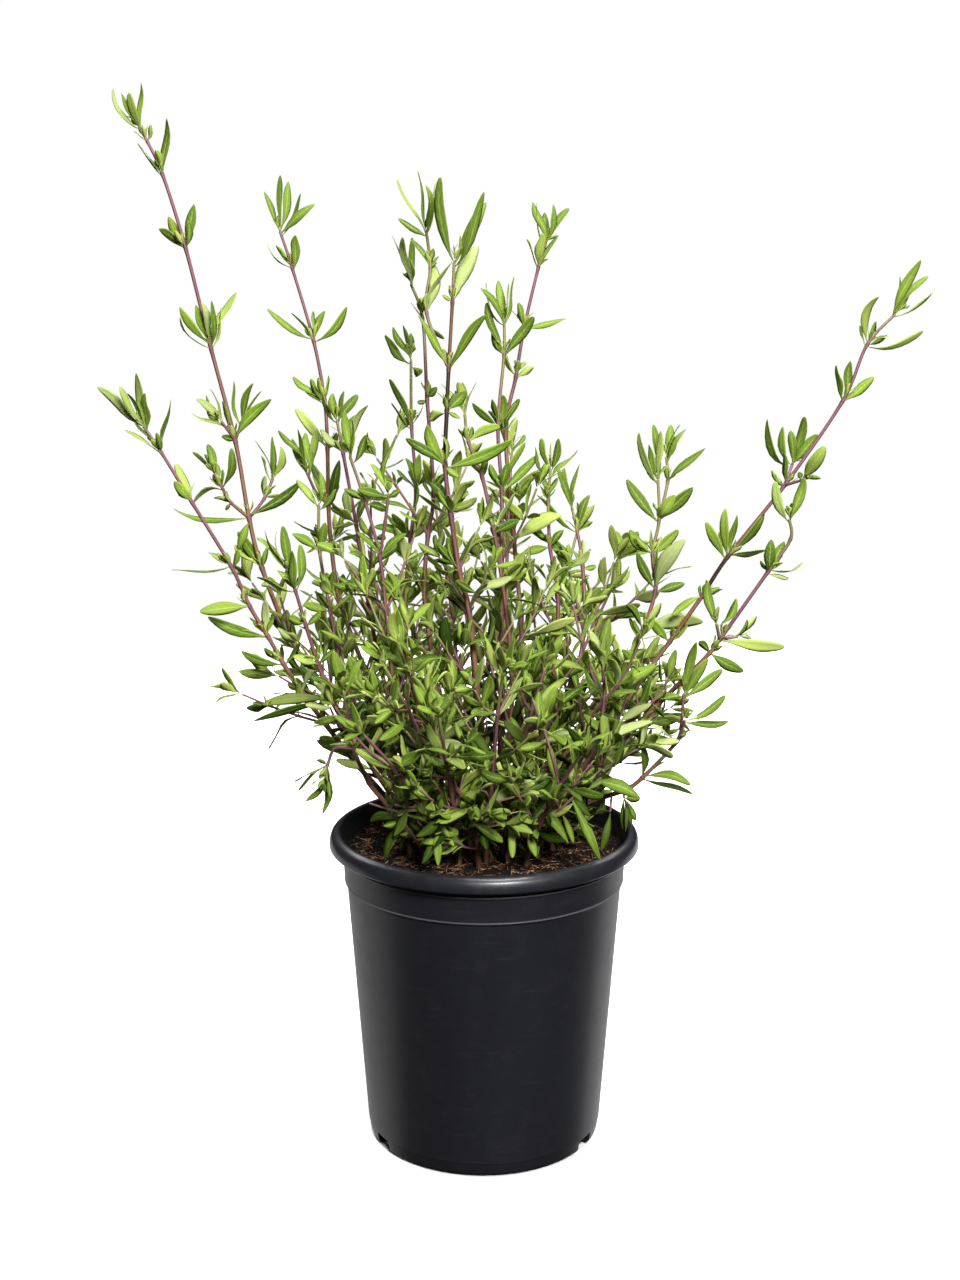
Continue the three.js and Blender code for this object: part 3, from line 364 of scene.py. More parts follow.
# Stems hidden in the bush: the foot's x and y, the tip's across and up, and how far behind the
# middle the tip stands
BUSH = [
    (-20, 34, -62, 318, 118), (-8, 35, -26, 352, 128), (8, 34, 14, 372, 132),
    (21, 34, 48, 330, 122), (-29, 26, -98, 268, 92), (34, 17, 84, 262, 88), (-35, 17, -88, 238, 60),
    (2, 26, -14, 318, 94), (37, 8, 84, 230, 30), (24, 7, 66, 300, 78), (-13, -9, -52, 258, -72),
    (-21, -20, -64, 222, -88), (-13, -30, -24, 232, -102), (1, -27, 10, 256, -94),
    (22, -30, 52, 212, -92), (10, -18, 32, 258, -48), (31, 35, 68, 256, 120),
    (-32, 36, -62, 244, 124),
]


def radians(degrees):
    return degrees * math.pi / 180


def clamp(value):
    return min(1, max(0, value))


def mesh_from(bm, name):
    """A mesh of what was built, which is then let go."""
    mesh = bpy.data.meshes.new(name)
    bm.to_mesh(mesh)
    bm.free()
    return mesh


def add_object(name, data):
    made = bpy.data.objects.new(name, data)
    bpy.context.scene.collection.objects.link(made)
    return made


def dice(seed):
    """A seeded draw of numbers from 0 to 1, the same on every run."""
    word = 0xFFFFFFFF
    state = seed & word

    def draw():
        nonlocal state
        state = (state + 0x6D2B79F5) & word
        mix = ((state ^ (state >> 15)) * (state | 1)) & word
        mix ^= (mix + (mix ^ (mix >> 7)) * (mix | 61)) & word
        return (mix ^ (mix >> 14)) / (word + 1)

    return draw


def between(draw, low, high):
    return low + (high - low) * draw()


def seen(across, up, depth):
    """The place at that depth which the eye sees at across and up."""
    return EYE + (Vector((across, 0, up)) - EYE) * ((depth - EYE.y) / -EYE.y)


def flat_place(point):
    """The across and up of a point, as seen from the eye."""
    ray = EYE + (point - EYE) * (-EYE.y / (point.y - EYE.y))
    return ray.x, ray.z


def square_off(vector, axis):
    """The part of a vector that is square to an axis, as a unit vector."""
    return (vector - axis * vector.dot(axis)).normalized()


class Knot:
    """A place on a stem where leaves stand: its point and the directions there."""

    def __init__(self, points, i):
        before = points[max(i - 1, 0)]
        after = points[min(i + 1, len(points) - 1)]
        self.point = points[i]
        self.along = (after - before).normalized()
        self.side = Vector((0, 1, 0)).cross(self.along).normalized()
        self.back = self.along.cross(self.side)
        self.up = (after - points[i]).normalized()
        self.down = (before - points[i]).normalized()

    def out(self, tilt, angle):
        """A heading that leans from the stem by tilt, towards angle round it."""
        round_it = self.side * math.cos(angle) + self.back * math.sin(angle)
        return self.along * math.cos(tilt) + round_it * math.sin(tilt)


class Leaf:
    """A leaf's places and how it is bent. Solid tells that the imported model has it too."""

    def __init__(self, root, tip, face, width, bow, solid=False, age=0.5, tone=0.5, seed=0):
        self.root, self.tip, self.face, self.width, self.bow = root, tip, face, width, bow
        self.solid, self.age, self.tone, self.seed = solid, age, tone, seed
        self.pale = self.limp = 0.0

    def turned(self, swing, share):
        """The same leaf turned in depth and in length, as one of the ways that it may lie."""
        span = self.tip - self.root
        span.y += swing * span.length
        span *= share
        face = square_off(self.face, span.normalized())
        width = self.width * max(share, LEAST_THINNING)
        return Leaf(self.root, self.root + span, face, width, self.bow, self.solid,
                    self.age, self.tone, self.seed)


def lay_shoot(route, start, start_place, depth_start, depth_end):
    """The points of a shoot, and for each knot of its route where it is among them and its depth."""
    spans = []
    last = start_place
    for knot in route:
        spans.append(math.hypot(knot[0] - last[0], knot[1] - last[1]))
        last = knot[:2]
    points = list(start)
    knots = []
    run = 0
    for knot, span in zip(route, spans):
        run += span
        depth = depth_start + (depth_end - depth_start) * run / sum(spans)
        knots.append((len(points), depth, knot))
        points.append(seen(knot[0], knot[1], depth))
    return points, knots


def bush_route(tip_across, tip_up, foot):
    """The route of a bush stem: it leaves the crown steeply and leans out."""
    foot_across, foot_up = flat_place(Vector((foot[0], foot[1], SOIL_LEVEL)))
    rise = tip_up - foot_up
    knots = max(3, math.floor(math.hypot(tip_across - foot_across, rise) / KNOT_STEP + 0.5))
    route = []
    for i in range(1, knots + 1):
        t = i / knots
        across = foot_across + (tip_across - foot_across) * (EVEN_LEAN * t + LATE_LEAN * t * t)
        up = foot_up + rise * (EARLY_RISE * t - LATE_LOSS * t * t)
        length = BUSH_TIP if i == knots else BUSH_PAIR
        route.append((math.floor(across + 0.5), math.floor(up + 0.5), length))
    return route


def rule_leaves(length, knot, is_tip, seed):
    """A pair of opposite leaves, or the two crossed pairs at a tip."""
    draw = dice(seed)
    turn = radians(PAIR_TURN + 90 * (seed % 2)) + (draw() - 0.5) * PAIR_SWING
    leaves = []
    for pair, opening in enumerate(TIP_OPEN if is_tip else (PAIR_OPEN,)):
        for half in (0, 1):
            angle = turn + math.pi * half + math.pi / 2 * pair + (draw() - 0.5) * LEAF_SWING
            tilt = radians(opening + (draw() - 0.5) * OPEN_SPREAD)
            reach = length * (LEAST_REACH + REACH_SPREAD * draw())
            heading = knot.out(tilt, angle)
            face = square_off(knot.along, heading)
            bow = face * (reach * RULE_BOW * (draw() - 0.2))
            width = reach * SLENDER + LEAST_WIDTH
            leaves.append(Leaf(knot.point, knot.point + heading * reach, face, width, bow, True))
    return seat_roots(leaves, knot, is_tip)


def given_leaves(given, place, depth, knot, is_tip, seed):
    """The leaves read at a knot. A broad leaf is rolled until it looks as wide as it was read."""
    leaves = []
    small = []
    for i, (across, up, seen_width, *side_bow) in enumerate(given):
        draw = dice(seed + 11 * (i + 1))
        flat = math.hypot(across - place[0], up - place[1])
        tip = seen(across, up, depth + flat * (draw() - 0.5) * DEPTH_SPREAD)
        heading = (tip - knot.point).normalized()
        length = (tip - knot.point).length
        width = max(seen_width, min(length * SLENDER + LEAST_WIDTH, MOST_WIDTH))
        facing = square_off(VIEW, heading)
        roll = math.acos(min(seen_width / width, 1)) * (-1 if draw() < 0.5 else 1)
        face = facing * math.cos(roll) + heading.cross(facing) * math.sin(roll)
        bow = Vector((place[1] - up, 0, across - place[0])).normalized() * -sum(side_bow)
        bow += face * (length * GIVEN_BOW * (draw() - 0.5))
        solid = flat * max(seen_width, NARROWEST_SEEN) >= LEAST_LEAF
        (leaves if solid else small).append(Leaf(knot.point, tip, face, width, bow, solid))
    return seat_roots(leaves, knot, is_tip) + seat_roots(small, knot, is_tip)


def seat_roots(leaves, knot, is_tip):
    """Spreads the leaves of a knot along the stem, the steepest one highest."""
    order = sorted(leaves, key=lambda leaf: -(leaf.tip - leaf.root).normalized().dot(knot.along))
    top = -ROOT_STEP if is_tip else ROOT_STEP * (len(leaves) - 1) / 2
    for rank, leaf in enumerate(order):
        out = square_off(leaf.tip - leaf.root, knot.along)
        shift = top - ROOT_STEP * rank
        leaf.root = leaf.root + (knot.up if shift > 0 else knot.down) * abs(shift)
        leaf.root += out * ROOT_ASIDE
    return leaves


# Shapes

LEAF_RIM = 0.99  # how far across a flat leaf's rim starts, of its half width
WELD = 1e-4


def leaf_shape(name, columns, rows):
    """A flat closed leaf to copy and bend: x across from -1 to 1, y along from 0 to 1, and z the side."""
    bm = bmesh.new()
    bmesh.ops.create_grid(bm, x_segments=columns, y_segments=len(rows) - 1, size=1)
    surface = bm.loops.layers.uv.new("surface")
    for vert in bm.verts:
        vert.co.y = rows[round((vert.co.y + 1) / 2 * (len(rows) - 1))]
    for face in bm.faces:
        face.smooth = True
        face.material_index = UPPER
        for loop in face.loops:
            loop[surface].uv = ((loop.vert.co.x + 1) / 2, loop.vert.co.y)
    upper = bm.verts[:] + bm.edges[:] + bm.faces[:]
    lower = bmesh.ops.duplicate(bm, geom=upper)["geom"]
    lower_faces = [part for part in lower if isinstance(part, bmesh.types.BMFace)]
    bmesh.ops.reverse_faces(bm, faces=lower_faces)
    for face in lower_faces:
        face.material_index = LOWER
    lower_verts = {part for part in lower if isinstance(part, bmesh.types.BMVert)}
    for vert in bm.verts:
        at_end = vert.co.y in (rows[0], rows[-1])
        if not at_end and abs(vert.co.x) < LEAF_RIM:
            vert.co.z = -1 if vert in lower_verts else 1
        if at_end:
            vert.co.x = 0
    bmesh.ops.remove_doubles(bm, verts=bm.verts, dist=WELD)
    bmesh.ops.dissolve_degenerate(bm, edges=bm.edges, dist=WELD)
    return mesh_from(bm, name)


LARGE_LEAF = leaf_shape("large_leaf", 4, (0, 0.06, 0.14, 0.27, 0.42, 0.57, 0.72, 0.85, 0.94, 0.985, 1))
MIDDLE_LEAF = leaf_shape("middle_leaf", 2, (0, 0.08, 0.18, 0.34, 0.52, 0.7, 0.86, 0.96, 1))
SMALL_LEAF = leaf_shape("small_leaf", 2, (0, 0.12, 0.3, 0.52, 0.74, 0.93, 1))
SMALL_LENGTH = 11.5
LARGE_LENGTH = 17

# A leaf's outline, as shares of its width and length
STALK_WIDTH = 0.17
STALK_LENGTH = 0.05
LATE_SWELL = 1.12
BASE_TAPER = 0.95
STALK_THINNING = 0.2

# How much a leaf bends, from least to most. Arch, hook, sway and ripple are shares of its length,
# fold, cup and waves of its half width, and roll and twist are in radians.
BLUNTNESS = (0.42, 0.7)
FOLD = (0.0, 0.46)
CUP = 0.16
FINE_ROLL = (-0.7, 0.7)
TWIST = (-0.9, 0.9)
UNTWISTED_AT = 0.2
ARCH = (-0.05, 0.13)
HOOK = (-0.03, 0.05)
LIMP_ARCH = (-0.05, 0.2)
SWAY = (-0.09, 0.09)
SOLID_RIPPLE, FINE_RIPPLE, LIMP_RIPPLE = 0.014, 0.024, 0.02
RIPPLES = 8
RIPPLE_LAG = 1.2
WAVES = (0.04, 0.16)
WAVE_COUNT = 9
WAVE_LAG = 2
LEAST_THICKNESS, THICKENING = 0.14, 0.02


def outline(t, blunt):
    """The share of its width that a leaf has at t of its length."""
    s = (t - STALK_LENGTH) / (1 - STALK_LENGTH)
    if s <= 0:
        return STALK_WIDTH
    swell = math.sin(math.pi * s ** LATE_SWELL)
    taper = blunt if s > 0.5 else BASE_TAPER
    return max(swell ** taper, STALK_WIDTH * (1 - t) ** STALK_THINNING)


def add_leaf(bm, leaf):
    """Bends a copy of the leaf shape to its places."""
    draw = dice(leaf.seed * 7919 + 13)
    span = leaf.tip - leaf.root
    length = span.length
    heading = span / length
    face = square_off(leaf.face, heading)
    across = heading.cross(face)
    blunt = between(draw, *BLUNTNESS)
    fold = between(draw, *FOLD)
    roll = 0 if leaf.solid else between(draw, *FINE_ROLL)
    twist = between(draw, *TWIST)
    arch = between(draw, *ARCH) * length
    hook = between(draw, *HOOK) * length
    arch += leaf.limp * between(draw, *LIMP_ARCH) * length
    sway = between(draw, *SWAY) * length * (leaf.limp if leaf.solid else 1)
    ripple = between(draw, 0.0, SOLID_RIPPLE if leaf.solid else FINE_RIPPLE) + LIMP_RIPPLE * leaf.limp
    phase = ANY_TURN * draw()
    wave = WAVES[0] if leaf.solid else between(draw, *WAVES)
    thick = LEAST_THICKNESS + THICKENING * leaf.width
    first = len(bm.verts)
    shape = LARGE_LEAF if leaf.solid or length > LARGE_LENGTH else MIDDLE_LEAF
    bm.from_mesh(SMALL_LEAF if length < SMALL_LENGTH else shape)
    bm.verts.ensure_lookup_table()
    age, tone, pale = (bm.verts.layers.float[name] for name in ("age", "tone", "pale"))
    for vert in bm.verts[first:]:
        x, t, side = vert.co
        on_right = x > 0
        half = outline(t, blunt) * leaf.width / 2 if 0 < t < 1 else 0
        half *= 1 + wave * math.sin(WAVE_COUNT * t + 2 * phase + (WAVE_LAG if on_right else 0))
        middle = leaf.root + span * t + leaf.bow * (t * (1 - t) / (WIDEST_AT * (1 - WIDEST_AT)))
        middle += face * (arch * 4 * t * (1 - t) + hook * math.sin(2 * math.pi * t))
        middle += across * (sway * 4 * t * (1 - t))
        angle = roll + twist * (t - UNTWISTED_AT)
        sideways = across * math.cos(angle) + face * math.sin(angle)
        upright = face * math.cos(angle) - across * math.sin(angle)
        lift = half * (fold * abs(x) - CUP * abs(x) ** 3)
        lift += length * ripple * math.sin(RIPPLES * t + phase + (RIPPLE_LAG if on_right else 0)) * x * x
        lift += side * thick * (1 - 0.5 * t)
        vert.co = (middle + sideways * (half * x) + upright * lift) * MM
        vert[age], vert[tone], vert[pale] = leaf.age, leaf.tone, leaf.pale


def curve_point(points, i, t):
    """A place between points i and i + 1 on a smooth curve through the points."""
    before = points[i - 1] if i > 0 else points[i] * 2 - points[i + 1]
    after = points[i + 2] if i + 2 < len(points) else points[i + 1] * 2 - points[i]
    a, b = points[i], points[i + 1]
    return 0.5 * (2 * a + (b - before) * t + (2 * before - 5 * a + 4 * b - after) * t * t
                  + (3 * a - before - 3 * b + after) * t ** 3)


# A stem's wood: where its rings stand between two knots, its half width at a corner and at a
# flat, how far a knot's swelling reaches and how much it adds, how long one span of bark is, and
# how softly a stretch of other bark starts
RINGS = (0, 0.07, 0.22, 0.42, 0.62, 0.8, 0.93)
STEM_SIDES = 8
CORNER_HALF, FLAT_HALF = 0.66, 0.5
KNOT_REACH = 0.1
KNOT_SWELL = 0.3
BARK_SPAN = 20
STRETCH_BLUR = 6


def add_wood(bm, wood, tone, stretches):
    """A square stem with rounded corners and swollen knots, rolled from a grid along its points."""
    points, width_start, width_end, straight, age_start, age_end = wood
    rings = []
    for i in range(len(points) - 1):
        for share in RINGS:
            place = points[i].lerp(points[i + 1], share) if i < straight else curve_point(points, i, share)
            rings.append((place, i + share))
    rings.append((points[-1], len(points) - 1))
    count = len(rings) - 1
    roll = bmesh.new()
    bmesh.ops.create_grid(roll, x_segments=STEM_SIDES, y_segments=count, size=1)
    surface = roll.loops.layers.uv.new("surface")
    layers = [roll.verts.layers.float.new(name) for name in ("age", "tone", "pale")]
    line = [place for place, _ in rings]
    run = [0]
    for a, b in zip(line, line[1:]):
        run.append(run[-1] + (b - a).length)
    for face in roll.faces:
        face.smooth = True
        face.material_index = BARK
        face.normal_flip()
        for loop in face.loops:
            row = round((loop.vert.co.y + 1) / 2 * count)
            loop[surface].uv = ((loop.vert.co.x + 1) / 2, run[row] / BARK_SPAN)
    for vert in roll.verts:
        row = round((vert.co.y + 1) / 2 * count)
        column = round((vert.co.x + 1) / 2 * STEM_SIDES) % STEM_SIDES
        knot = Knot(line, row)
        share = rings[row][1] / (len(points) - 1)
        nearness = abs(rings[row][1] - round(rings[row][1]))
        swell = max(0.0, 1 - nearness / KNOT_REACH) if 0 < row < count else 0
        corner = CORNER_HALF if column % 2 == 0 else FLAT_HALF
        half = (width_start + (width_end - width_start) * share) * corner * (1 + KNOT_SWELL * swell)
        if row in (0, count):
            half = 0
        angle = 2 * math.pi * column / STEM_SIDES
        out = knot.side * math.cos(angle) + knot.back * math.sin(angle)
        vert.co = (line[row] + out * half) * MM
        age = age_start + (age_end - age_start) * share
        up = flat_place(line[row])[1]
        for low, high, age_there in stretches:
            age += (age_there - age) * clamp(min(up - low, high - up) / STRETCH_BLUR + 0.5)
        vert[layers[0]], vert[layers[1]], vert[layers[2]] = age, tone, swell
    bmesh.ops.remove_doubles(roll, verts=roll.verts, dist=1e-6)
    bmesh.ops.dissolve_degenerate(roll, edges=roll.edges, dist=1e-7)
    scrap = mesh_from(roll, "wood")
    bm.from_mesh(scrap)
    bpy.data.meshes.remove(scrap)


# The plant

# A tuft of small leaves. Of two numbers, the first is the least and the second the most. The swing
# is in radians, how far a tuft opens (tight, medium or loose) in degrees, and the rest are shares.
TUFT_SWING = (-0.4, 0.4)
TUFT_LEAN = (0.7, 1.25)
TUFT_CLOSING = 0.8
TUFT_SIZE = (0.75, 1.15)
TUFT_RISE, TUFT_DEPTH = 0.6, 0.3
TUFT_WIDTH = (0.2, 0.3)
TUFT_AGE = (0.7, 1.1)
TIGHT, MEDIUM, LOOSE = 34, 40, 44
SHRINK = 0.35
# How many leaves the tuft at a knot has and how long they are
READ_TIP_TUFT, READ_KNOT_TUFT, TIP_TUFT = (4, 8), (5, 10), (6, 13)

# A side shoot: the distance of its knots and its wood's widths, its swing in radians, how far its
# leaves open in degrees, the chance of a tuft at a knot, how old its tip is, and the rest as shares
SPRIG_STEP = 13
SPRIG_BEND = (-0.15, 0.15)
SPRIG_RISE = (0.1, 0.4)
SPRIG_SIZE = (0.8, 1.15)
SPRIG_SWING = (-0.3, 0.3)
SPRIG_OPEN = (30, 68)
SPRIG_WIDTH = (0.19, 0.29)
SPRIG_AGE = (0.7, 1.2)
SPRIG_TUFTS = 0.35
SPRIG_WOOD = (1.15, 0.8)
YOUNG_WOOD = 0.05

# Side shoots and tufts between a pair of leaves and the stem: how likely a side shoot is there, up
# to which height it is that likely, and above which height only tufts stand
SPRIG_SHARE = 0.9
SPRIG_LOW = 290
SPRIG_TOP = 345
SPRIG_LENGTH = (15, 44)
SPRIG_LEAF = (19, 30)
PAIR_TUFT_REACH = (14, 22)
PAIR_LEAN = 0.75
PAIR_ASIDE = (0.5, 0.9)

# Short shoots at the foot of each stem, over how many knots they spread, and leaves that lie there
BASE_SHOOTS = 4
BASE_KNOTS = 1.9
BASE_SWING, BASE_RISE = 0.8, (-0.1, 0.9)
BASE_LENGTH = (12, 30)
BASE_LEAF = (18, 29)
BASE_AGE = 0.8
FOOT_LEAVES = 3
FOOT_ROOT = (0.05, 0.7)
FOOT_SWING, FOOT_RISE = 0.6, (-0.6, 0.6)
FOOT_REACH, LEAST_FOOT_REACH = (14, 28), 6
FOOT_WIDTHS, LEAST_FOOT_WIDTH = (0.13, 0.22), 0.9
FOOT_TILT, FOOT_BOW, FOOT_AGE = 0.6, 0.1, 0.7
INSIDE_RIM = 57
OVER_RIM = POT_HEIGHT + 8
OVER_SOIL = SOIL_LEVEL + 3


def bunch(point, heading, count, reach, spread, seed, age):
    """A tuft of small leaves round a heading, as at a shoot's tip or where a leaf meets a stem."""
    draw = dice(seed)
    side = heading.orthogonal().normalized()
    back = heading.cross(side)
    leaves = []
    for i in range(count):
        angle = math.pi * i + math.pi / 2 * (i // 2) + between(draw, *TUFT_SWING) + seed % 7
        tilt = radians(spread * (1 - TUFT_CLOSING * i / count) * between(draw, *TUFT_LEAN))
        lean = heading * math.cos(tilt)
        lean += (side * math.cos(angle) + back * math.sin(angle)) * math.sin(tilt)
        size = reach * (1 - SHRINK * i / count) * between(draw, *TUFT_SIZE)
        root = point + heading * (TUFT_RISE * i / count * reach * TUFT_DEPTH)
        width = size * between(draw, *TUFT_WIDTH) + LEAST_WIDTH
        leaves.append(Leaf(root, root + lean * size, square_off(heading, lean), width, Vector(),
                           age=age * between(draw, *TUFT_AGE), tone=draw(), seed=seed * 31 + i))
    return leaves


def sprig(point, heading, length, seed, age, leaf_length):
    """A short side shoot with pairs of leaves and a tuft at its tip: its points and its leaves."""
    draw = dice(seed)
    count = max(2, round(length / SPRIG_STEP))
    bend = Vector((between(draw, *SPRIG_BEND), between(draw, *SPRIG_BEND), between(draw, *SPRIG_RISE)))
    points = [point + heading * (length * i / count) + bend * (length * (i / count) ** 2)
              for i in range(count + 1)]
    leaves = []
    for i in range(1, count + 1):
        knot = Knot(points, i)
        share = i / count
        size = leaf_length * (1 - SHRINK * share) * between(draw, *SPRIG_SIZE)
        if i == count:
            leaves += bunch(knot.point, knot.along, 5, size * 1.1, MEDIUM, seed * 3 + i, age * 0.5)
            break
        for half in (0, 1):
            angle = math.pi * half + math.pi / 2 * (i % 2) + between(draw, *SPRIG_SWING) + seed % 5
            lean = knot.out(radians(between(draw, *SPRIG_OPEN)), angle)
            reach = size * between(draw, *SPRIG_SIZE)
            face = square_off(knot.along, lean)
            width = reach * between(draw, *SPRIG_WIDTH) + LEAST_WIDTH
            leaves.append(Leaf(knot.point, knot.point + lean * reach, face, width, Vector(),
                               age=age * between(draw, *SPRIG_AGE), tone=draw(),
                               seed=seed * 17 + 2 * i + half))
        if draw() < SPRIG_TUFTS:
            leaves += bunch(knot.point, knot.along, 2, size * 0.6, MEDIUM, seed * 3 + i, age * 0.6)
    return points, leaves


def outward_heading(draw, points, swing, rise):
    """A heading that leans out from the pot's middle, and its flat part."""
    angle = ANY_TURN * draw()
    outward = Vector((points[0].x, points[0].y, 0)) / 40
    flat = (Vector((math.cos(angle), math.sin(angle), 0)) * swing + outward).normalized()
    return (flat + Vector((0, 0, between(draw, *rise)))).normalized(), flat


class Stem:
    """A leafy stem as it grows: its woods, and its leaves.

    A wood is its points, its width at the start and the end, how many of its spans are straight,
    and the age of its bark at the start and the end, from 0 for a green tip to 1 for old wood.
    """

    def __init__(self, name, foot, away, width, route, index):
        self.name, self.index = name, index
        self.woods = []
        self.leaves = []
        x, y = foot
        base = [Vector((x, y, SOIL_LEVEL - STEM_SINK)), Vector((x, y, SOIL_LEVEL + STEM_RISE))]
        laid = lay_shoot(route, base, flat_place(base[1]), y, away)
        self.grow(laid, width, TIP_WIDTH, index + 1, 1, 1.0)

    def grow(self, laid, width_start, width_end, seed, straight, age):
        points, knots = laid
        age_end = 0.0 if age == 1 else YOUNG_WOOD
        self.woods.append((points, width_start, width_end, straight, age, age_end))
        for k, (at, depth, given) in enumerate(knots):
            knot = Knot(points, at)
            is_tip = k == len(knots) - 1
            across, up, *more = given
            borne = more[0] if more else 0
            shoots = more[1] if len(more) > 1 else []
            knot_seed = seed * 1000 + k * 40
            here = age * (1 - at / len(points))
            was_read = isinstance(borne, list)
            if was_read:
                leaves = given_leaves(borne, (across, up), depth, knot, is_tip, knot_seed)
            else:
                leaves = rule_leaves(borne, knot, is_tip, knot_seed + k) if borne > 0 else []
            draw = dice(knot_seed + 5)
            for i, leaf in enumerate(leaves):
                leaf.age, leaf.tone = here * between(draw, 0.85, 1.1), draw()
                leaf.seed = knot_seed + i
            self.leaves += leaves
            tuft = None
            if was_read:
                tuft = READ_TIP_TUFT if is_tip else READ_KNOT_TUFT
            elif borne > 0 and is_tip:
                tuft = TIP_TUFT
            elif borne > 0:
                self.fill(knot, leaves, knot_seed, here, up)
            if tuft:
                self.leaves += bunch(knot.point, knot.along, *tuft, TIGHT, knot_seed + 3, here * 0.5)
            for s, (aside, route) in enumerate(shoots):
                side = lay_shoot(route, [knot.point], (across, up), depth, depth + aside)
                self.grow(side, SHOOT_WIDTH, TIP_WIDTH, seed + 100 * (s + 1) + k, 0, here * 0.6)

    def fill(self, knot, leaves, seed, age, height):
        """The tufts and side shoots that stand between a pair of leaves and the stem."""
        draw = dice(seed + 77)
        for i, leaf in enumerate(leaves):
            aside = square_off(leaf.tip - leaf.root, knot.along)
            heading = (knot.along * PAIR_LEAN + aside * between(draw, *PAIR_ASIDE)).normalized()
            share = SPRIG_SHARE if height < SPRIG_LOW else SPRIG_SHARE / 2
            if draw() < share and height < SPRIG_TOP:
                length, leaf_length = between(draw, *SPRIG_LENGTH), between(draw, *SPRIG_LEAF)
                self.add_sprig(knot.point, heading, length, seed + 101 * (i + 1), age, leaf_length)
            else:
                count = 3 + math.floor(3 * draw())
                reach = between(draw, *PAIR_TUFT_REACH)
                self.leaves += bunch(knot.point, heading, count, reach, LOOSE, seed + 51 * (i + 1), age * 0.6)

    def add_sprig(self, point, heading, length, seed, age, leaf_length):
        line, leaves = sprig(point, heading, length, seed, age * 0.7, leaf_length)
        self.woods.append((line, *SPRIG_WOOD, 0, age * 0.6, YOUNG_WOOD))
        self.leaves += leaves

    def add_base(self):
        """The short leafy shoots and the leaves at the foot, which hide the soil under the bush."""
        points = self.woods[0][0]
        draw = dice(self.index * 613 + 29)
        for i in range(BASE_SHOOTS):
            share = (i + 0.5) / BASE_SHOOTS * BASE_KNOTS
            low = min(1 + math.floor(share), len(points) - 2)
            point = points[low].lerp(points[low + 1], share % 1)
            heading, _ = outward_heading(draw, points, BASE_SWING, BASE_RISE)
            length = between(draw, *BASE_LENGTH)
            if not is_bare(point + heading * length):
                seed = self.index * 331 + i
                self.add_sprig(point, heading, length, seed, BASE_AGE, between(draw, *BASE_LEAF))
        for i in range(FOOT_LEAVES):
            root = points[1].lerp(points[2], between(draw, *FOOT_ROOT))
            heading, flat = outward_heading(draw, points, FOOT_SWING, FOOT_RISE)
            reach = between(draw, *FOOT_REACH)
            tip = root + heading * min(reach, (root.z - OVER_SOIL) / max(0.01, -heading.z))
            spread = math.hypot(tip.x, tip.y) / INSIDE_RIM
            if tip.z < OVER_RIM and spread > 1:
                tip = Vector((tip.x / spread, tip.y / spread, tip.z))
            reach = (tip - root).length
            if reach < LEAST_FOOT_REACH:
                continue
            face = square_off(Vector((0, 0, 1)) + flat * FOOT_TILT, tip - root)
            width = reach * between(draw, *FOOT_WIDTHS) + LEAST_FOOT_WIDTH
            leaf = Leaf(root, tip, face, width, face * FOOT_BOW * reach, age=FOOT_AGE, tone=draw(),
                        seed=self.index * 577 + i)
            leaf.limp = 1.0
            self.leaves.append(leaf)


# Long leaves that hang over the soil and the rim: where a twig ends, each leaf's tip and width and
# how pale it is, and where a twig that comes out of the soil starts
HANGING = [
    ((-41, -50, 190), [
        (-50, -60, 172, 5.2), (-51, -54, 189, 4.2), (-38, -46, 193, 4), (-58, -44, 188, 5)], (-28, -30, 159)),
    ((-26.5, -57, 230.6), [(-10, -60, 232.5, 6.2, 0.6)]),
    ((-23, -50, 186), [(-31, -60, 171, 5.2), (-23, -60, 170, 4.6), (-15, -56, 179, 4)]),
    ((12, -50, 187), [(14, -60, 174, 4.4)]),
    ((22, -48, 183), [(26, -58, 174, 4.8)]),
    ((27, -46, 195), [(42, -56, 180, 5.4), (16, -56, 186, 3.6)]),
    ((39, -44, 192), [(45, -52, 179, 3.4)]),
    ((43, -44, 202), [(58, -58, 172, 5), (53, -50, 193, 5)]),
    ((64, -44, 193), [(59, -52, 175, 4.4)]),
    ((72, -30, 196), [
        (71, -36, 181, 2.6), (72, -40, 181, 2.6), (76, -34, 182, 3), (78, -30, 184, 3.4), (80, -34, 197, 5)]),
    ((54, -40, 209), [(79, -44, 200, 7.6)]),
    ((18, -52, 215), [(-2, -62, 197, 5, 0.4)]),
    ((34, -50, 213), [(17, -60, 211, 5.6, 0.5)]),
    ((-2, -52, 207), [(-12, -62, 201, 6.6), (-10, -60, 190, 4.6)]),
    ((-23, -50, 209), [(-42, -58, 203, 6.4)]),
]
TWIG_START, SOIL_TWIG_START, TWIG_END = 1.1, 1.3, 0.8
TWIG_AGES = (0.45, 0.2)
TWIG_ARCH = 1.5
ABOVE_COST = 4
HANGING_BOW = 0.06
HANGING_AGE = 0.42
HANGING_LIMP = 0.7


def nearest_wood(stems, end):
    """The place low on a main stem that is nearest to a twig's end, rather below it, and its stem."""
    best = None
    for stem in stems:
        points = stem.woods[0][0]
        for a, b in zip(points[1:4], points[2:5]):
            for share in (0, 0.25, 0.5, 0.75):
                place = a.lerp(b, share)
                reach = (place - end).length + (ABOVE_COST if place.z > end.z else 0)
                if best is None or reach < best[0]:
                    best = (reach, place, stem)
    return best[1:]


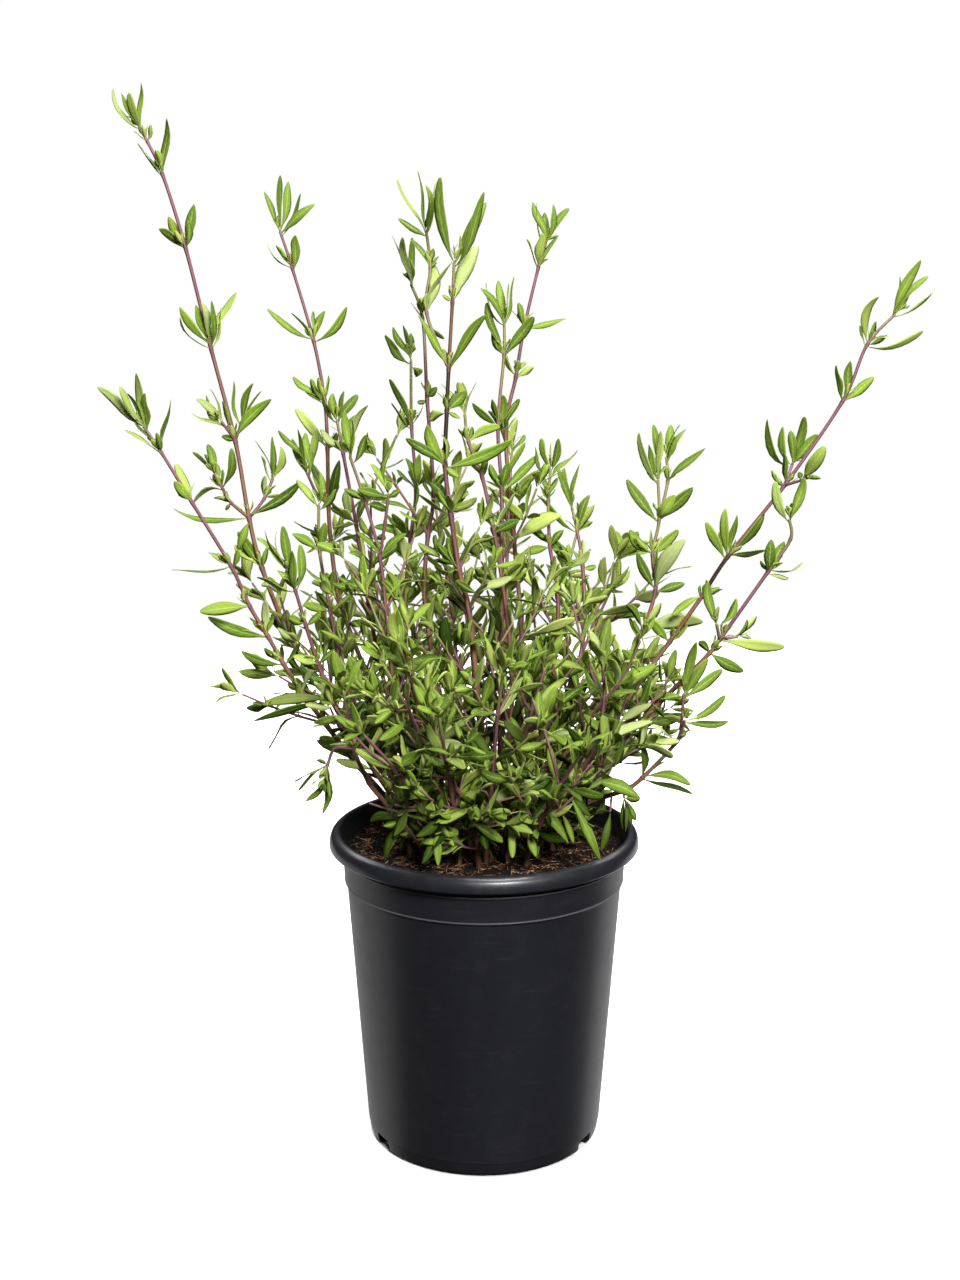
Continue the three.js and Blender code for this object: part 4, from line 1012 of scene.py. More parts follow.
def add_hanging(stems):
    """Gives each hanging leaf to the stem that passes nearest, on a thin twig of its own."""
    for i, (end, tips, *soil_start) in enumerate(HANGING):
        root = Vector(end)
        start, stem = nearest_wood(stems, root)
        twig_width = TWIG_START
        if soil_start:
            start = Vector(soil_start[0])
            twig_width = SOIL_TWIG_START
        middle = start.lerp(root, 0.5) + Vector((0, 0, TWIG_ARCH))
        stem.woods.append(([start, middle, root], twig_width, TWIG_END, 0, *TWIG_AGES))
        for k, (x, y, z, width, *pale) in enumerate(tips):
            tip = Vector((x, y, z))
            heading = (tip - root).normalized()
            face = square_off(VIEW + Vector((0, 0, 0.5)), heading)
            leaf = Leaf(root, tip, face, width, face * HANGING_BOW * (tip - root).length, True,
                        age=HANGING_AGE, tone=0.2 + 0.6 * ((3 * i + k) % 5) / 5, seed=900 + 10 * i + k)
            leaf.pale, leaf.limp = sum(pale), HANGING_LIMP
            stem.leaves.append(leaf)


# Where a main stem's bark looks older or younger than its place: from and to a height, and its age
BARK_STRETCHES = {
    "stem_dark_main": [(284, 334, 0.46), (362, 414, 0.97), (414, 452, 0.76)],
    "stem_east_tall": [(296, 320, 0.95), (262, 290, 0.56)],
}
# Leaves that show a pale, greyish side: their tips, across and up, and how near a tip has to be
PALE_TIPS = [(-3, 474), (114, 283), (104, 326), (89, 228), (-68, 345)]
PALE_REACH = 3
PALE_SHARE = 0.07
PALENESS = (0.25, 0.6)

# Where the low stems stand bare beside the foot: below a height, and from and to, across
BARE_BELOW = 214
BARE_SIDES = ((-80, -52), (68, 96))
# The strip of soil that shows in front: below a height in the middle, which rises to the sides
SOIL_SEEN_BELOW = 152
SOIL_SEEN_SLOPE = 0.3
SOIL_SEEN_MIDDLE = 30
LOW_TIP = 200

# Painted shade and light on the bush's leaves, set through their age and tone: painted shade towards its
# middle, as a cone, and near its foot painted shade on some leaves and painted light on the rest
CONE_RADIUS, CONE_SLOPE = 42, 0.28
DEEP_FROM, DEEP_SLOPE = 1.25, 1.35
DEEP_TOP, DEEP_FADE = 380, 110
DEEP_PAINTED_SHADE_AGE = (0.5, 1.3)
BASE_TOP, BASE_FADE = 290, 60
PAINTED_SHADE_SHARE = 0.42
PAINTED_SHADE_AGE, PAINTED_LIGHT_AGE, PAINTED_LIGHT_TONE = 0.9, -0.35, 0.2


def is_bare(place):
    """Whether a place lies left or right of the bush's foot, where the low stems stand bare."""
    across, up = flat_place(place)
    return up < BARE_BELOW and any(left < across < right for left, right in BARE_SIDES)


def hides_soil(tip):
    """Whether a leaf's tip would cover the strip of soil that shows in front of the bush."""
    across, up = flat_place(tip)
    top = SOIL_SEEN_BELOW + SOIL_SEEN_SLOPE * max(0, abs(across) - SOIL_SEEN_MIDDLE)
    return tip.z < LOW_TIP and tip.y < 0 and up < top


def trim_paint_shade_and_light(stem):
    """Drops small leaves where the bush stands open, paints shade on those deep in it, paints shade on some
    near its foot and light on the rest there, makes some pale.
    """
    draw = dice(stem.index * 71 + 3)
    stem.leaves = [leaf for leaf in stem.leaves
                   if leaf.solid or not (hides_soil(leaf.tip) or is_bare(leaf.tip))]
    for leaf in stem.leaves:
        middle = (leaf.root + leaf.tip) / 2
        reach = math.hypot(middle.x, middle.y) / (CONE_RADIUS + CONE_SLOPE * (middle.z - SOIL_LEVEL))
        deep = clamp(DEEP_FROM - DEEP_SLOPE * reach) * clamp((DEEP_TOP - middle.z) / DEEP_FADE)
        # Painted shade: leaves deep in the bush are made older, so their colour is darker.
        leaf.age += deep * between(draw, *DEEP_PAINTED_SHADE_AGE)
        # Painted shade on some leaves near the foot, which are made older, and painted light on the rest,
        # which are made younger and lighter in tone.
        base = clamp((BASE_TOP - middle.z) / BASE_FADE)
        in_painted_shade = draw() < PAINTED_SHADE_SHARE
        leaf.age += base * (PAINTED_SHADE_AGE if in_painted_shade else PAINTED_LIGHT_AGE)
        leaf.tone += base * (0 if in_painted_shade else PAINTED_LIGHT_TONE)
        across, up = flat_place(leaf.tip)
        if any(math.hypot(across - x, up - z) < PALE_REACH for x, z in PALE_TIPS):
            leaf.pale = PALENESS[1]
        elif leaf.limp == 0 and draw() < PALE_SHARE:
            leaf.pale = between(draw, *PALENESS)


def find_turns(stem):
    """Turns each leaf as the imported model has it, which its tip's place tells."""
    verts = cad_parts[stem.name].data.vertices
    tree = kdtree.KDTree(len(verts))
    for vert in verts:
        tree.insert(vert.co / MM, vert.index)
    tree.balance()
    for i, leaf in enumerate(stem.leaves):
        for turn in TURNS if leaf.solid else ():
            way = leaf.turned(*turn)
            if tree.find(way.tip)[2] < TIP_FOUND:
                stem.leaves[i] = way
                break


def finish_piece(name, bm, looks, slot, *nodes):
    """A finished piece of the plant or pot: its mesh, materials, body and replaced nodes. The slot is not
    used.
    """
    piece = add_object(name, mesh_from(bm, name))
    for look in looks:
        piece.data.materials.append(look)
    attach(piece, "root")
    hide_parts(*nodes)
    return piece


def make_leafy_piece(stem, looks):
    bm = bmesh.new()
    bm.loops.layers.uv.new("surface")
    for name in ("age", "tone", "pale"):
        bm.verts.layers.float.new(name)
    tone = dice(stem.index * 97 + 5)()
    for i, wood in enumerate(stem.woods):
        add_wood(bm, wood, tone, BARK_STRETCHES.get(stem.name, ()) if i == 0 else ())
    for leaf in stem.leaves:
        add_leaf(bm, leaf)
    finish_piece(stem.name + "_leafy", bm, looks, "sage_foliage", stem.name)


# Pot and soil

LIP_FOOT = POT_HEIGHT - LIP_HEIGHT
# The pot's section, up the outside and down the inside: radius, height and rounding of a corner
POT_SECTION = [
    (0, 0, 0), (BASE_RADIUS - 6, 0, 0.5), (BASE_RADIUS - 5, 0.7, 0.5), (BASE_RADIUS - 0.9, 0.8, 2.6),
    (BASE_RADIUS + 0.1, 8, 0.4), (BASE_RADIUS + 0.35, 8.4, 0.4), (STEP_RADIUS, STEP_HEIGHT - 1, 0.4),
    (STEP_RADIUS + 1.4, STEP_HEIGHT + 0.2, 0.3), (STEP_RADIUS + 1.1, STEP_HEIGHT + 1, 0.3),
    (NECK_RADIUS - 0.3, LIP_FOOT - 3.6, 0.2), (NECK_RADIUS + 0.3, LIP_FOOT - 2.9, 0.3),
    (NECK_RADIUS, LIP_FOOT - 2.2, 0.3), (NECK_RADIUS - 0.4, LIP_FOOT + 0.9, 0.5),
    (RIM_RADIUS - 1.2, LIP_FOOT + 1.0, 0.4), (RIM_RADIUS - 0.1, LIP_FOOT + 1.7, 0.5),
    (RIM_RADIUS, LIP_FOOT + 2.4, 0.5), (RIM_RADIUS - 0.1, POT_HEIGHT - 5.4, 1.9),
    (RIM_RADIUS - 2.0, POT_HEIGHT - 1.7, 2.2), (RIM_RADIUS - 5.6, POT_HEIGHT - 0.9, 0.8),
    (NECK_RADIUS - 0.4, POT_HEIGHT - 6.5, 1.5), (NECK_RADIUS - WALL, LIP_FOOT - 1, 1.2),
    (STEP_RADIUS - WALL, STEP_HEIGHT - 2, 0), (BASE_RADIUS - WALL, FLOOR + 2, 0.8),
    (BASE_RADIUS - WALL - 1.5, FLOOR, 0.5), (0, FLOOR, 0),
]
POT_STEPS = 144
SOIL_RINGS, SOIL_STEPS = 62, 220
SOIL_GAP = 0.4
SOIL_SIDE = STEP_HEIGHT - 4
SOIL_FLOOR = FLOOR + 0.3

# Loose bits on the soil: how many, and their sizes from least to most
CRUMBS, CRUMB_SHARE, CRUMB_SIZE = 1300, (0.5, 1.0), 2.2
CHIPS, CHIP_LENGTH = 220, (1, 3.8)
FIBRES, FIBRE_LENGTH, FIBRE_WIDTH = 1000, (3, 11), (0.14, 0.34)


def turned_shape(bm, corners, steps):
    """Spins a line of (radius, height, rounding) corners round the upright axis, as a closed shape."""
    line = [bm.verts.new((radius, 0, height)) for radius, height, _ in corners]
    for a, b in zip(line, line[1:]):
        bm.edges.new((a, b))
    for vert, (_, _, rounding) in zip(line, corners):
        if rounding > 0:
            bmesh.ops.bevel(bm, geom=[vert], offset=rounding, offset_type="OFFSET", segments=4,
                            profile=0.5, affect="VERTICES", material=-1)
    bmesh.ops.spin(bm, geom=bm.verts[:] + bm.edges[:], axis=(0, 0, 1), cent=(0, 0, 0),
                   angle=2 * math.pi, steps=steps, use_merge=True)
    bmesh.ops.remove_doubles(bm, verts=bm.verts, dist=1e-4)
    bmesh.ops.recalc_face_normals(bm, faces=bm.faces)
    for face in bm.faces:
        face.smooth = True


def notch_cutters():
    """Blocks with rounded tops where the notches in the pot's foot are."""
    bm = bmesh.new()
    out = -(BASE_RADIUS + 1) * MM
    for angle, width, height in NOTCHES:
        place = Matrix.Rotation(radians(angle), 4, "Z") @ Matrix.Translation((0, out, 0))
        size = Matrix.Diagonal((width * MM, NOTCH_DEPTH * MM, 2 * height * MM, 1))
        cube = bmesh.ops.create_cube(bm, size=1, matrix=place @ size)
        top = {edge for vert in cube["verts"] for edge in vert.link_edges
               if all(end.co.z > 0 for end in edge.verts)}
        radial = [edge for edge in top if edge.calc_length() > (NOTCH_DEPTH - 0.1) * MM]
        bmesh.ops.bevel(bm, geom=radial, offset=NOTCH_ROUNDING * MM, offset_type="OFFSET", segments=3,
                        profile=0.5, affect="EDGES", material=-1)
    return add_object("notch_cutters", mesh_from(bm, "notch_cutters"))


def make_pot(looks):
    bm = bmesh.new()
    turned_shape(bm, POT_SECTION, POT_STEPS)
    bmesh.ops.scale(bm, vec=(MM, MM, MM), verts=bm.verts)
    pot = finish_piece("pot_shell", bm, looks, "pot_plastic", "pot")
    cutter = notch_cutters()
    cut = pot.modifiers.new("notches", "BOOLEAN")
    cut.operation, cut.solver, cut.object = "DIFFERENCE", "EXACT", cutter
    view = bpy.context.evaluated_depsgraph_get()
    pot_with_notches = bpy.data.meshes.new_from_object(pot.evaluated_get(view))
    pot.modifiers.clear()
    pot.data = pot_with_notches
    bpy.data.objects.remove(cutter)


def soil_height(x, y):
    """The height of the soil's top as in the part: shallow waves, and a low mound in the middle."""
    r = math.hypot(x, y)
    return (SOIL_LEVEL + 1.4 * math.sin(0.11 * x + 0.7) * math.cos(0.13 * y - 0.4)
            + 0.9 * math.sin(0.31 * x - 0.27 * y + 1.1) + 2 * math.exp(-((r / 34) ** 2)) - 1)


def pot_inside(z):
    """The radius of the pot's inside at a height."""
    low, high = BASE_RADIUS - WALL, STEP_RADIUS - WALL
    if z <= STEP_HEIGHT - 2:
        return low + (high - low) * (z - FLOOR - 2) / (STEP_HEIGHT - FLOOR - 4)
    neck = NECK_RADIUS - WALL
    return high + (neck - high) * (z - STEP_HEIGHT + 2) / (LIP_FOOT - 1 - STEP_HEIGHT + 2)


SOIL_EDGE = pot_inside(SOIL_LEVEL) - SOIL_GAP


def rough_soil(x, y):
    """The height of the soil's crumbly top."""
    place = Vector((x, y, 0))
    lumps = 1.3 * noise.noise(place / 9) + 1.3 * noise.noise(place / 4.2 + Vector((7, 3, 1)))
    crumbs = 1.1 * abs(noise.noise(place / 1.9)) + 0.4 * noise.noise(place / 0.9)
    return soil_height(x, y) + lumps + crumbs


def make_soil(looks):
    bm = bmesh.new()
    top = [(SOIL_EDGE * i / SOIL_RINGS, SOIL_LEVEL, 0) for i in range(SOIL_RINGS + 1)]
    side = [(pot_inside(SOIL_SIDE) - SOIL_GAP, SOIL_SIDE, 0), (pot_inside(FLOOR) - 2, SOIL_FLOOR, 0)]
    turned_shape(bm, top + side + [(0, SOIL_FLOOR, 0)], SOIL_STEPS)
    for vert in bm.verts:
        if vert.co.z > SOIL_LEVEL - 0.1:
            vert.co.z = rough_soil(vert.co.x, vert.co.y)
    bmesh.ops.scale(bm, vec=(MM, MM, MM), verts=bm.verts)
    finish_piece("soil_filling", bm, looks, "potting_soil", "soil")


def soil_place(draw, edge=2.0):
    """A place on the soil, at least that far from its edge."""
    radius = (SOIL_EDGE - edge) * math.sqrt(draw())
    angle = 2 * math.pi * draw()
    x, y = radius * math.cos(angle), radius * math.sin(angle)
    return Vector((x, y, rough_soil(x, y)))


def around(draw, most):
    """A draw from as far below 0 as above it."""
    return between(draw, -most, most)


def free_turn(draw, axis, size=4):
    return Matrix.Rotation(ANY_TURN * draw(), size, axis)


def slight_turn(draw, most, size=4):
    return Matrix.Rotation(around(draw, most), size, "X")


def make_crumbs(draw, look):
    bm = bmesh.new()
    for _ in range(CRUMBS):
        size = between(draw, *CRUMB_SHARE) ** 2 * CRUMB_SIZE
        stretch = Matrix.Diagonal((1, between(draw, 0.6, 1.1), between(draw, 0.5, 0.9), 1))
        place = soil_place(draw) + Vector((0, 0, size * 0.25))
        turn = free_turn(draw, "X") @ free_turn(draw, "Z")
        matrix = Matrix.Translation(place * MM) @ turn @ stretch @ Matrix.Scale(size * MM, 4)
        made = bmesh.ops.create_icosphere(bm, subdivisions=1, radius=0.62, matrix=matrix)
        for vert in made["verts"]:
            vert.co += Vector([around(draw, 0.16) * size * MM for _ in range(3)])
    finish_piece("soil_crumbs", bm, [look], "potting_soil")


def make_chips(draw, look):
    bm = bmesh.new()
    for _ in range(CHIPS):
        length = between(draw, *CHIP_LENGTH)
        thin, flat = between(draw, 0.25, 0.6), between(draw, 0.35, 0.8)
        shape = Matrix.Diagonal((length, length * thin, flat, 1))
        turn = free_turn(draw, "Z") @ slight_turn(draw, 0.6)
        place = soil_place(draw) + Vector((0, 0, 0.3))
        matrix = Matrix.Translation(place * MM) @ turn @ shape @ Matrix.Scale(MM, 4)
        made = bmesh.ops.create_cube(bm, size=1, matrix=matrix)
        for vert in made["verts"]:
            vert.co += Vector([around(draw, 0.25) * MM for _ in range(3)])
    finish_piece("bark_chips", bm, [look], "potting_soil")


def make_fibres(draw, look):
    """Curved root fibres. Each is a grid rolled into a tube that closes at its ends."""
    bm = bmesh.new()
    for _ in range(FIBRES):
        length = between(draw, *FIBRE_LENGTH)
        made = bmesh.ops.create_grid(bm, x_segments=3, y_segments=6, size=1)
        width = between(draw, *FIBRE_WIDTH)
        bend = Vector([around(draw, 0.8) for _ in range(3)])
        turn = free_turn(draw, "Z", 3) @ slight_turn(draw, 0.25, 3)
        place = soil_place(draw, 4) + Vector((0, 0, between(draw, 0.4, 1.8)))
        for vert in made["verts"]:
            t = vert.co.y
            angle = math.pi * (vert.co.x + 1)
            half = 0 if abs(t) > 0.99 else width * (1 - 0.5 * t * t)
            ring = Vector((half * math.cos(angle), 0, half * math.sin(angle)))
            curved = Vector((0, t * length / 2, 0)) + bend * (t * t * length * 0.4) + ring
            spot = place + turn @ curved
            spot.z = max(spot.z, rough_soil(spot.x, spot.y) + width)
            vert.co = spot * MM
    bmesh.ops.remove_doubles(bm, verts=bm.verts, dist=1e-7)
    bmesh.ops.dissolve_degenerate(bm, edges=bm.edges, dist=1e-8)
    bmesh.ops.recalc_face_normals(bm, faces=bm.faces)
    finish_piece("root_fibres", bm, [look], "potting_soil")


# Materials

# Colours in the usual screen numbers from 0 to 255, on a ramp after their place from 0 to 1
UPPER_COLOURS = [
    (0, (46, 76, 8)), (0.3, (70, 102, 16)), (0.6, (102, 134, 34)), (0.85, (136, 162, 58)),
    (1, (170, 186, 96)),
]
LOWER_COLOURS = [(0, (112, 134, 54)), (0.5, (136, 154, 68)), (1, (164, 178, 92))]
# Bark from a green tip, over mauve and brown, to old, dark wood; the last, near-black stops are painted
# shade, reached at the stems' feet by the soil
BARK_AND_FOOT_SHADE_COLOURS = [
    (0.0, (138, 144, 72)), (0.06, (138, 101, 96)), (0.16, (128, 78, 98)), (0.32, (118, 74, 76)),
    (0.5, (132, 94, 67)), (0.7, (118, 86, 58)), (0.84, (60, 44, 31)), (0.95, (22, 17, 12)),
]
SOIL_COLOURS = [(0.35, (8, 6, 4)), (0.55, (22, 15, 10)), (0.75, (52, 36, 25))]
CRUMB_COLOURS = [(0.35, (14, 9, 6)), (0.52, (54, 34, 21)), (0.68, (116, 80, 52))]
CHIP_COLOURS = [(0.3, (44, 29, 19)), (0.6, (92, 64, 42)), (0.8, (150, 114, 78))]
FIBRE_COLOURS = [(0.42, (50, 31, 19)), (0.5, (118, 78, 50)), (0.6, (226, 188, 146))]


class Term:
    """A value in a material. Arithmetic on it adds Math nodes."""

    def __init__(self, look, socket):
        self.look, self.socket = look, socket

    def math(self, operation, *values):
        return self.look.node("ShaderNodeMath", {"operation": operation}, dict(enumerate(values)))[0]

    def __add__(self, other):
        return self.math("ADD", self, other)

    def __sub__(self, other):
        return self.math("SUBTRACT", self, other)

    def __rsub__(self, other):
        return self.math("SUBTRACT", other, self)

    def __mul__(self, other):
        return self.math("MULTIPLY", self, other)

    def __truediv__(self, other):
        return self.math("DIVIDE", self, other)

    def __pow__(self, other):
        return self.math("POWER", self, other)

    def __abs__(self):
        return self.math("ABSOLUTE", self)

    def clamp(self, low=0.0, high=1.0):
        return self.math("MINIMUM", self.math("MAXIMUM", self, low), high)

    def above(self, edge, soft):
        """0 below the edge and 1 above it, turning over a soft width."""
        return ((self - (edge - soft / 2)) / soft).clamp()

    __radd__ = __add__
    __rmul__ = __mul__


class Look:
    """A material under construction."""

    def __init__(self, name):
        self.material = bpy.data.materials.new(name)
        self.material.use_nodes = True
        self.tree = self.material.node_tree
        self.shader = self.tree.nodes["Principled BSDF"]

    def node(self, kind, settings=None, values=None):
        """Adds a node: its settings first, then its sockets' values or links. Gives its outputs."""
        made = self.tree.nodes.new(kind)
        for name, setting in (settings or {}).items():
            if name == "stops":
                ramp = made.color_ramp
                while len(ramp.elements) < len(setting):
                    ramp.elements.new(0.5)
                for element, (place, colour) in zip(ramp.elements, setting):
                    element.position = place
                    element.color = (*paint(*colour), 1)
            else:
                setattr(made, name, setting)
        self.fill(made, values or {})
        return [Term(self, output) for output in made.outputs]

    def fill(self, node, values):
        for name, value in values.items():
            if isinstance(value, Term):
                self.tree.links.new(value.socket, node.inputs[name])
            elif isinstance(value, tuple) and len(value) == 3 and node.inputs[name].type == "RGBA":
                node.inputs[name].default_value = (*value, 1)
            else:
                node.inputs[name].default_value = value

    def shade(self, **values):
        self.fill(self.shader, {name.replace("_", " "): value for name, value in values.items()})
        return self.material

    def attribute(self, name):
        return self.node("ShaderNodeAttribute", {"attribute_name": name})[2]

    def across_along(self):
        """The piece's own surface places: across, along, and both as one."""
        surface = self.node("ShaderNodeUVMap", {"uv_map": "surface"})[0]
        x, y, _ = self.node("ShaderNodeSeparateXYZ", None, {0: surface})
        return x, y, surface

    def place(self):
        return self.node("ShaderNodeTexCoord")[3]

    def grain(self, where, scale, detail=3.0, roughness=0.5):
        return self.node("ShaderNodeTexNoise", None, {
            "Vector": where, "Scale": scale, "Detail": detail, "Roughness": roughness})[0]

    def scaled(self, where, scale):
        return self.node("ShaderNodeMapping", None, {"Vector": where, "Scale": scale})[0]

    def ramp(self, value, stops):
        return self.node("ShaderNodeValToRGB", {"stops": stops}, {0: value})[0]

    def mix(self, share, first, second):
        """The first colour, with that share of the second one in it."""
        return self.node("ShaderNodeMix", {"data_type": "RGBA", "clamp_result": True},
                         {0: share, 6: first, 7: second})[2]

    def bump(self, height, strength, distance):
        return self.node("ShaderNodeBump", None, {
            "Height": height, "Strength": strength, "Distance": distance})[0]


def paint(red, green, blue):
    """A colour from the usual 0 to 255 screen numbers."""
    return tuple((value / 255 / 12.92) if value <= 10 else ((value / 255 + 0.055) / 1.055) ** 2.4
                 for value in (red, green, blue))


def leaf_look(name, underside):
    """A leaf's upper face, or its paler underside with a rib that stands out."""
    look = Look(name)
    across, along, _ = look.across_along()
    # Age also carries painted shade and painted light: leaves deep in the bush and some near its foot are
    # given more age, the other leaves near the foot less.
    tone, age, pale = look.attribute("tone"), look.attribute("age"), look.attribute("pale")
    away = abs(across - 0.5) * 2
    where = look.place()
    base = look.ramp(tone, LOWER_COLOURS if underside else UPPER_COLOURS)
    young = paint(168, 182, 84) if underside else paint(112, 138, 50)
    rib_vein_and_rim_highlight_colour = paint(196, 204, 132) if underside else paint(178, 192, 104)
    # Lighter when young and darker when old; because age carries painted shade and light, these mixes paint
    # them too.
    colour = look.mix((1 - age * 2.2).clamp(0, 1) * 0.62, base, young)
    colour = look.mix((age - 0.45).clamp(0, 0.5) * 0.4, colour, paint(62, 94, 16))
    mottle = look.grain(where, 160, 2)
    colour = look.mix((mottle - 0.5).clamp(0, 1) * 0.35, colour, young)
    # Side veins that run forward from the rib
    slanted = look.node("ShaderNodeCombineXYZ", None, {0: along * 7 - away * 1.3, 1: 0.0, 2: tone * 9})[0]
    streak = look.node("ShaderNodeTexWave", {"wave_type": "BANDS", "bands_direction": "X"}, {
        "Vector": slanted, "Scale": 0.32, "Distortion": 0.6, "Detail": 1.0})[1]
    colour = look.mix(streak * 0.16 * (1 - away), colour, rib_vein_and_rim_highlight_colour)
    rib = (1 - away.above(0.1 if underside else 0.085, 0.1)) * (1 - along * 0.6)
    colour = look.mix(rib * 0.75, colour, rib_vein_and_rim_highlight_colour)
    # Painted highlight along the leaf's rim, where its edge would catch light.
    colour = look.mix(away.above(0.86, 0.14) * 0.6, colour, rib_vein_and_rim_highlight_colour)
    stalk = 1 - along.above(0.12, 0.16)
    colour = look.mix(stalk * 0.6, colour, paint(160, 176, 96))
    # Darkest green: painted shade on leaves deep in the bush and near its foot, and the oldest leaves.
    colour = look.mix(((age - 0.76) * 1.2).clamp(0, 0.92), colour, paint(22, 42, 2))
    colour = look.mix(pale, colour, paint(196, 208, 140))
    height = streak * 0.4 * (1 - away) + rib * (0.8 if underside else -0.8)
    return look.shade(Base_Color=colour, Roughness=0.6 if underside else 0.46 + mottle * 0.12,
                      Normal=look.bump(height, 0.3, 0.0003), Specular_IOR_Level=0.08)


def bark_look():
    """Square bark: streaked, darker with age and near-black at the foot as painted shade, mauve at the knots,
    with a painted highlight on its four corners.
    """
    look = Look("sage_bark")
    across, _, surface = look.across_along()
    tone, age, knot = look.attribute("tone"), look.attribute("age"), look.attribute("pale")
    streaks = look.grain(look.scaled(surface, (9, 1.2, 1)), 2.0, 4)
    patches = look.grain(look.scaled(surface, (1.5, 0.5, 1)), 1.5, 2)
    stage = (age + (patches - 0.5) * 0.3 + (tone - 0.5) * 0.22).clamp()
    # The oldest bark, at the foot, takes the near-black painted shade at the ramp's end.
    colour = look.ramp(stage, BARK_AND_FOOT_SHADE_COLOURS)
    warm = look.grain(look.scaled(surface, (0.5, 0.35, 1)), 1.0, 1).above(0.6, 0.06)
    colour = look.mix(warm * age.above(0.3, 0.2) * 0.7, colour, paint(168, 104, 52))
    colour = look.mix(knot * 0.5, colour, paint(112, 56, 76))
    # Painted highlight on the stem's four corners, fading with age.
    round_it = across * (8 * math.pi)
    corner = round_it.math("COSINE", round_it) * 0.5 + 0.5
    colour = look.mix(corner * (1 - age).clamp(0.3, 1) * 0.3, colour, paint(198, 160, 154))
    colour = look.mix(streaks.above(0.6, 0.3) * 0.4, colour, paint(62, 38, 30))
    normal = look.bump(streaks + look.grain(look.place(), 900, 2) * 0.4, 0.4, 0.0003)
    return look.shade(Base_Color=colour, Roughness=0.5 + streaks * 0.2, Normal=normal,
                      Specular_IOR_Level=0.3)


def plastic_look():
    """Black moulded plastic: faint flow marks, scuffs and dust, and painted highlight lines at the step and
    neck.
    """
    look = Look("pot_plastic")
    where = look.place()
    x, _, z = look.node("ShaderNodeSeparateXYZ", None, {0: where})
    flow = look.grain(look.scaled(where, (1, 1, 0.25)), 30, 3)
    fine = look.grain(where, 1400, 2)
    scuffs = look.grain(look.scaled(where, (60, 60, 900)), 1.0, 3).above(0.66, 0.06)
    dust = look.grain(where, 90, 5, 0.7).above(0.6, 0.2)
    high = z.above(0.158, 0.02)
    lip = z.above(0.1612, 0.0008)
    # Painted highlights: thin light lines on the step's bead and on the neck under the lip, the step's
    # brighter towards the pot's sides.
    step_highlight = z.above(0.1442, 0.0003) - z.above(0.145, 0.0003)
    neck_highlight = z.above(0.1579, 0.0003) - z.above(0.1587, 0.0003)
    colour = look.mix(flow, paint(27, 27, 31), paint(31, 32, 37))
    lines = step_highlight * (0.25 + 5 * abs(x)) + neck_highlight * 0.6
    colour = look.mix(lines, colour, paint(118, 118, 122))
    colour = look.mix(dust * (0.02 + high * 0.06), colour, paint(104, 100, 96))
    colour = look.mix(scuffs * 0.03, colour, paint(120, 120, 124))
    roughness = 0.43 - lip * 0.1 + (flow - 0.5) * 0.08 + dust * 0.06 + scuffs * 0.05
    normal = look.bump(fine + scuffs * 0.4, 0.08, 0.0002)
    return look.shade(Base_Color=colour, Roughness=roughness, Normal=normal, Specular_IOR_Level=0.5,
                      Coat_Weight=0.12 + lip * 0.18, Coat_Roughness=0.2)


def soil_look(name, stops, scale=260):
    look = Look(name)
    where = look.place()
    coarse = look.grain(where, scale, 5, 0.65)
    fine = look.grain(where, scale * 5, 4, 0.7)
    colour = look.ramp(coarse * 0.55 + fine * 0.45, stops)
    normal = look.bump(coarse + fine * 0.7, 0.9, 0.0009)
    return look.shade(Base_Color=colour, Roughness=0.92, Normal=normal, Specular_IOR_Level=0.2)


# Camera, floor and lights, in metres

CAMERA_PLACE = (-0.00215, -0.9, 0.465)
CAMERA_DOWN = 12.05
SENSOR_WIDTH, LENS = 36, 49.56
FLOOR_RADIUS = 1.3
FLOOR_GLOW = 0.8
# Where the floor starts to glow, round the pot's foot: the radius and how softly
GLOW_START = (0.0622, 0.0016)
WORLD_GLOW = 0.03
# Each light: its name, its place, what it points at, its width and height, and its power
LIGHTS = [
    ("overhead_light", (0.33, -0.45, 3.0), (0, 0, 0.2), (1.08, 1.08), 80),
    ("key_light", (0.4, -1.4, 1.2), (0, 0, 0.2), (0.5, 0.35), 46),
    ("left_rim_light", (-0.9, 1.0, 1.6), (0, 0, 0.3), (1.0, 1.0), 14),
    ("right_rim_light", (0.9, 1.0, 1.6), (0, 0, 0.3), (1.0, 1.0), 14),
    ("left_low_light", (-0.56, 0.7, -0.36), (0, 0, 0.09), (2.2, 0.8), 3.7),
    ("right_low_light", (0.52, 0.78, -0.36), (0, 0, 0.09), (1.1, 0.8), 2.7),
]


def make_camera():
    camera = add_object("camera", bpy.data.cameras.new("camera"))
    camera.location = CAMERA_PLACE
    camera.rotation_euler = (radians(90 - CAMERA_DOWN), 0, 0)
    camera.data.sensor_width = SENSOR_WIDTH
    camera.data.lens = LENS
    bpy.context.scene.camera = camera


def make_light(name, place, target, size, power):
    data = bpy.data.lights.new(name, "AREA")
    data.shape = "RECTANGLE"
    data.size, data.size_y = size
    data.energy = power
    light = add_object(name, data)
    light.visible_camera = False
    light.location = place
    light.rotation_euler = (Vector(target) - Vector(place)).to_track_quat("-Z", "Y").to_euler()


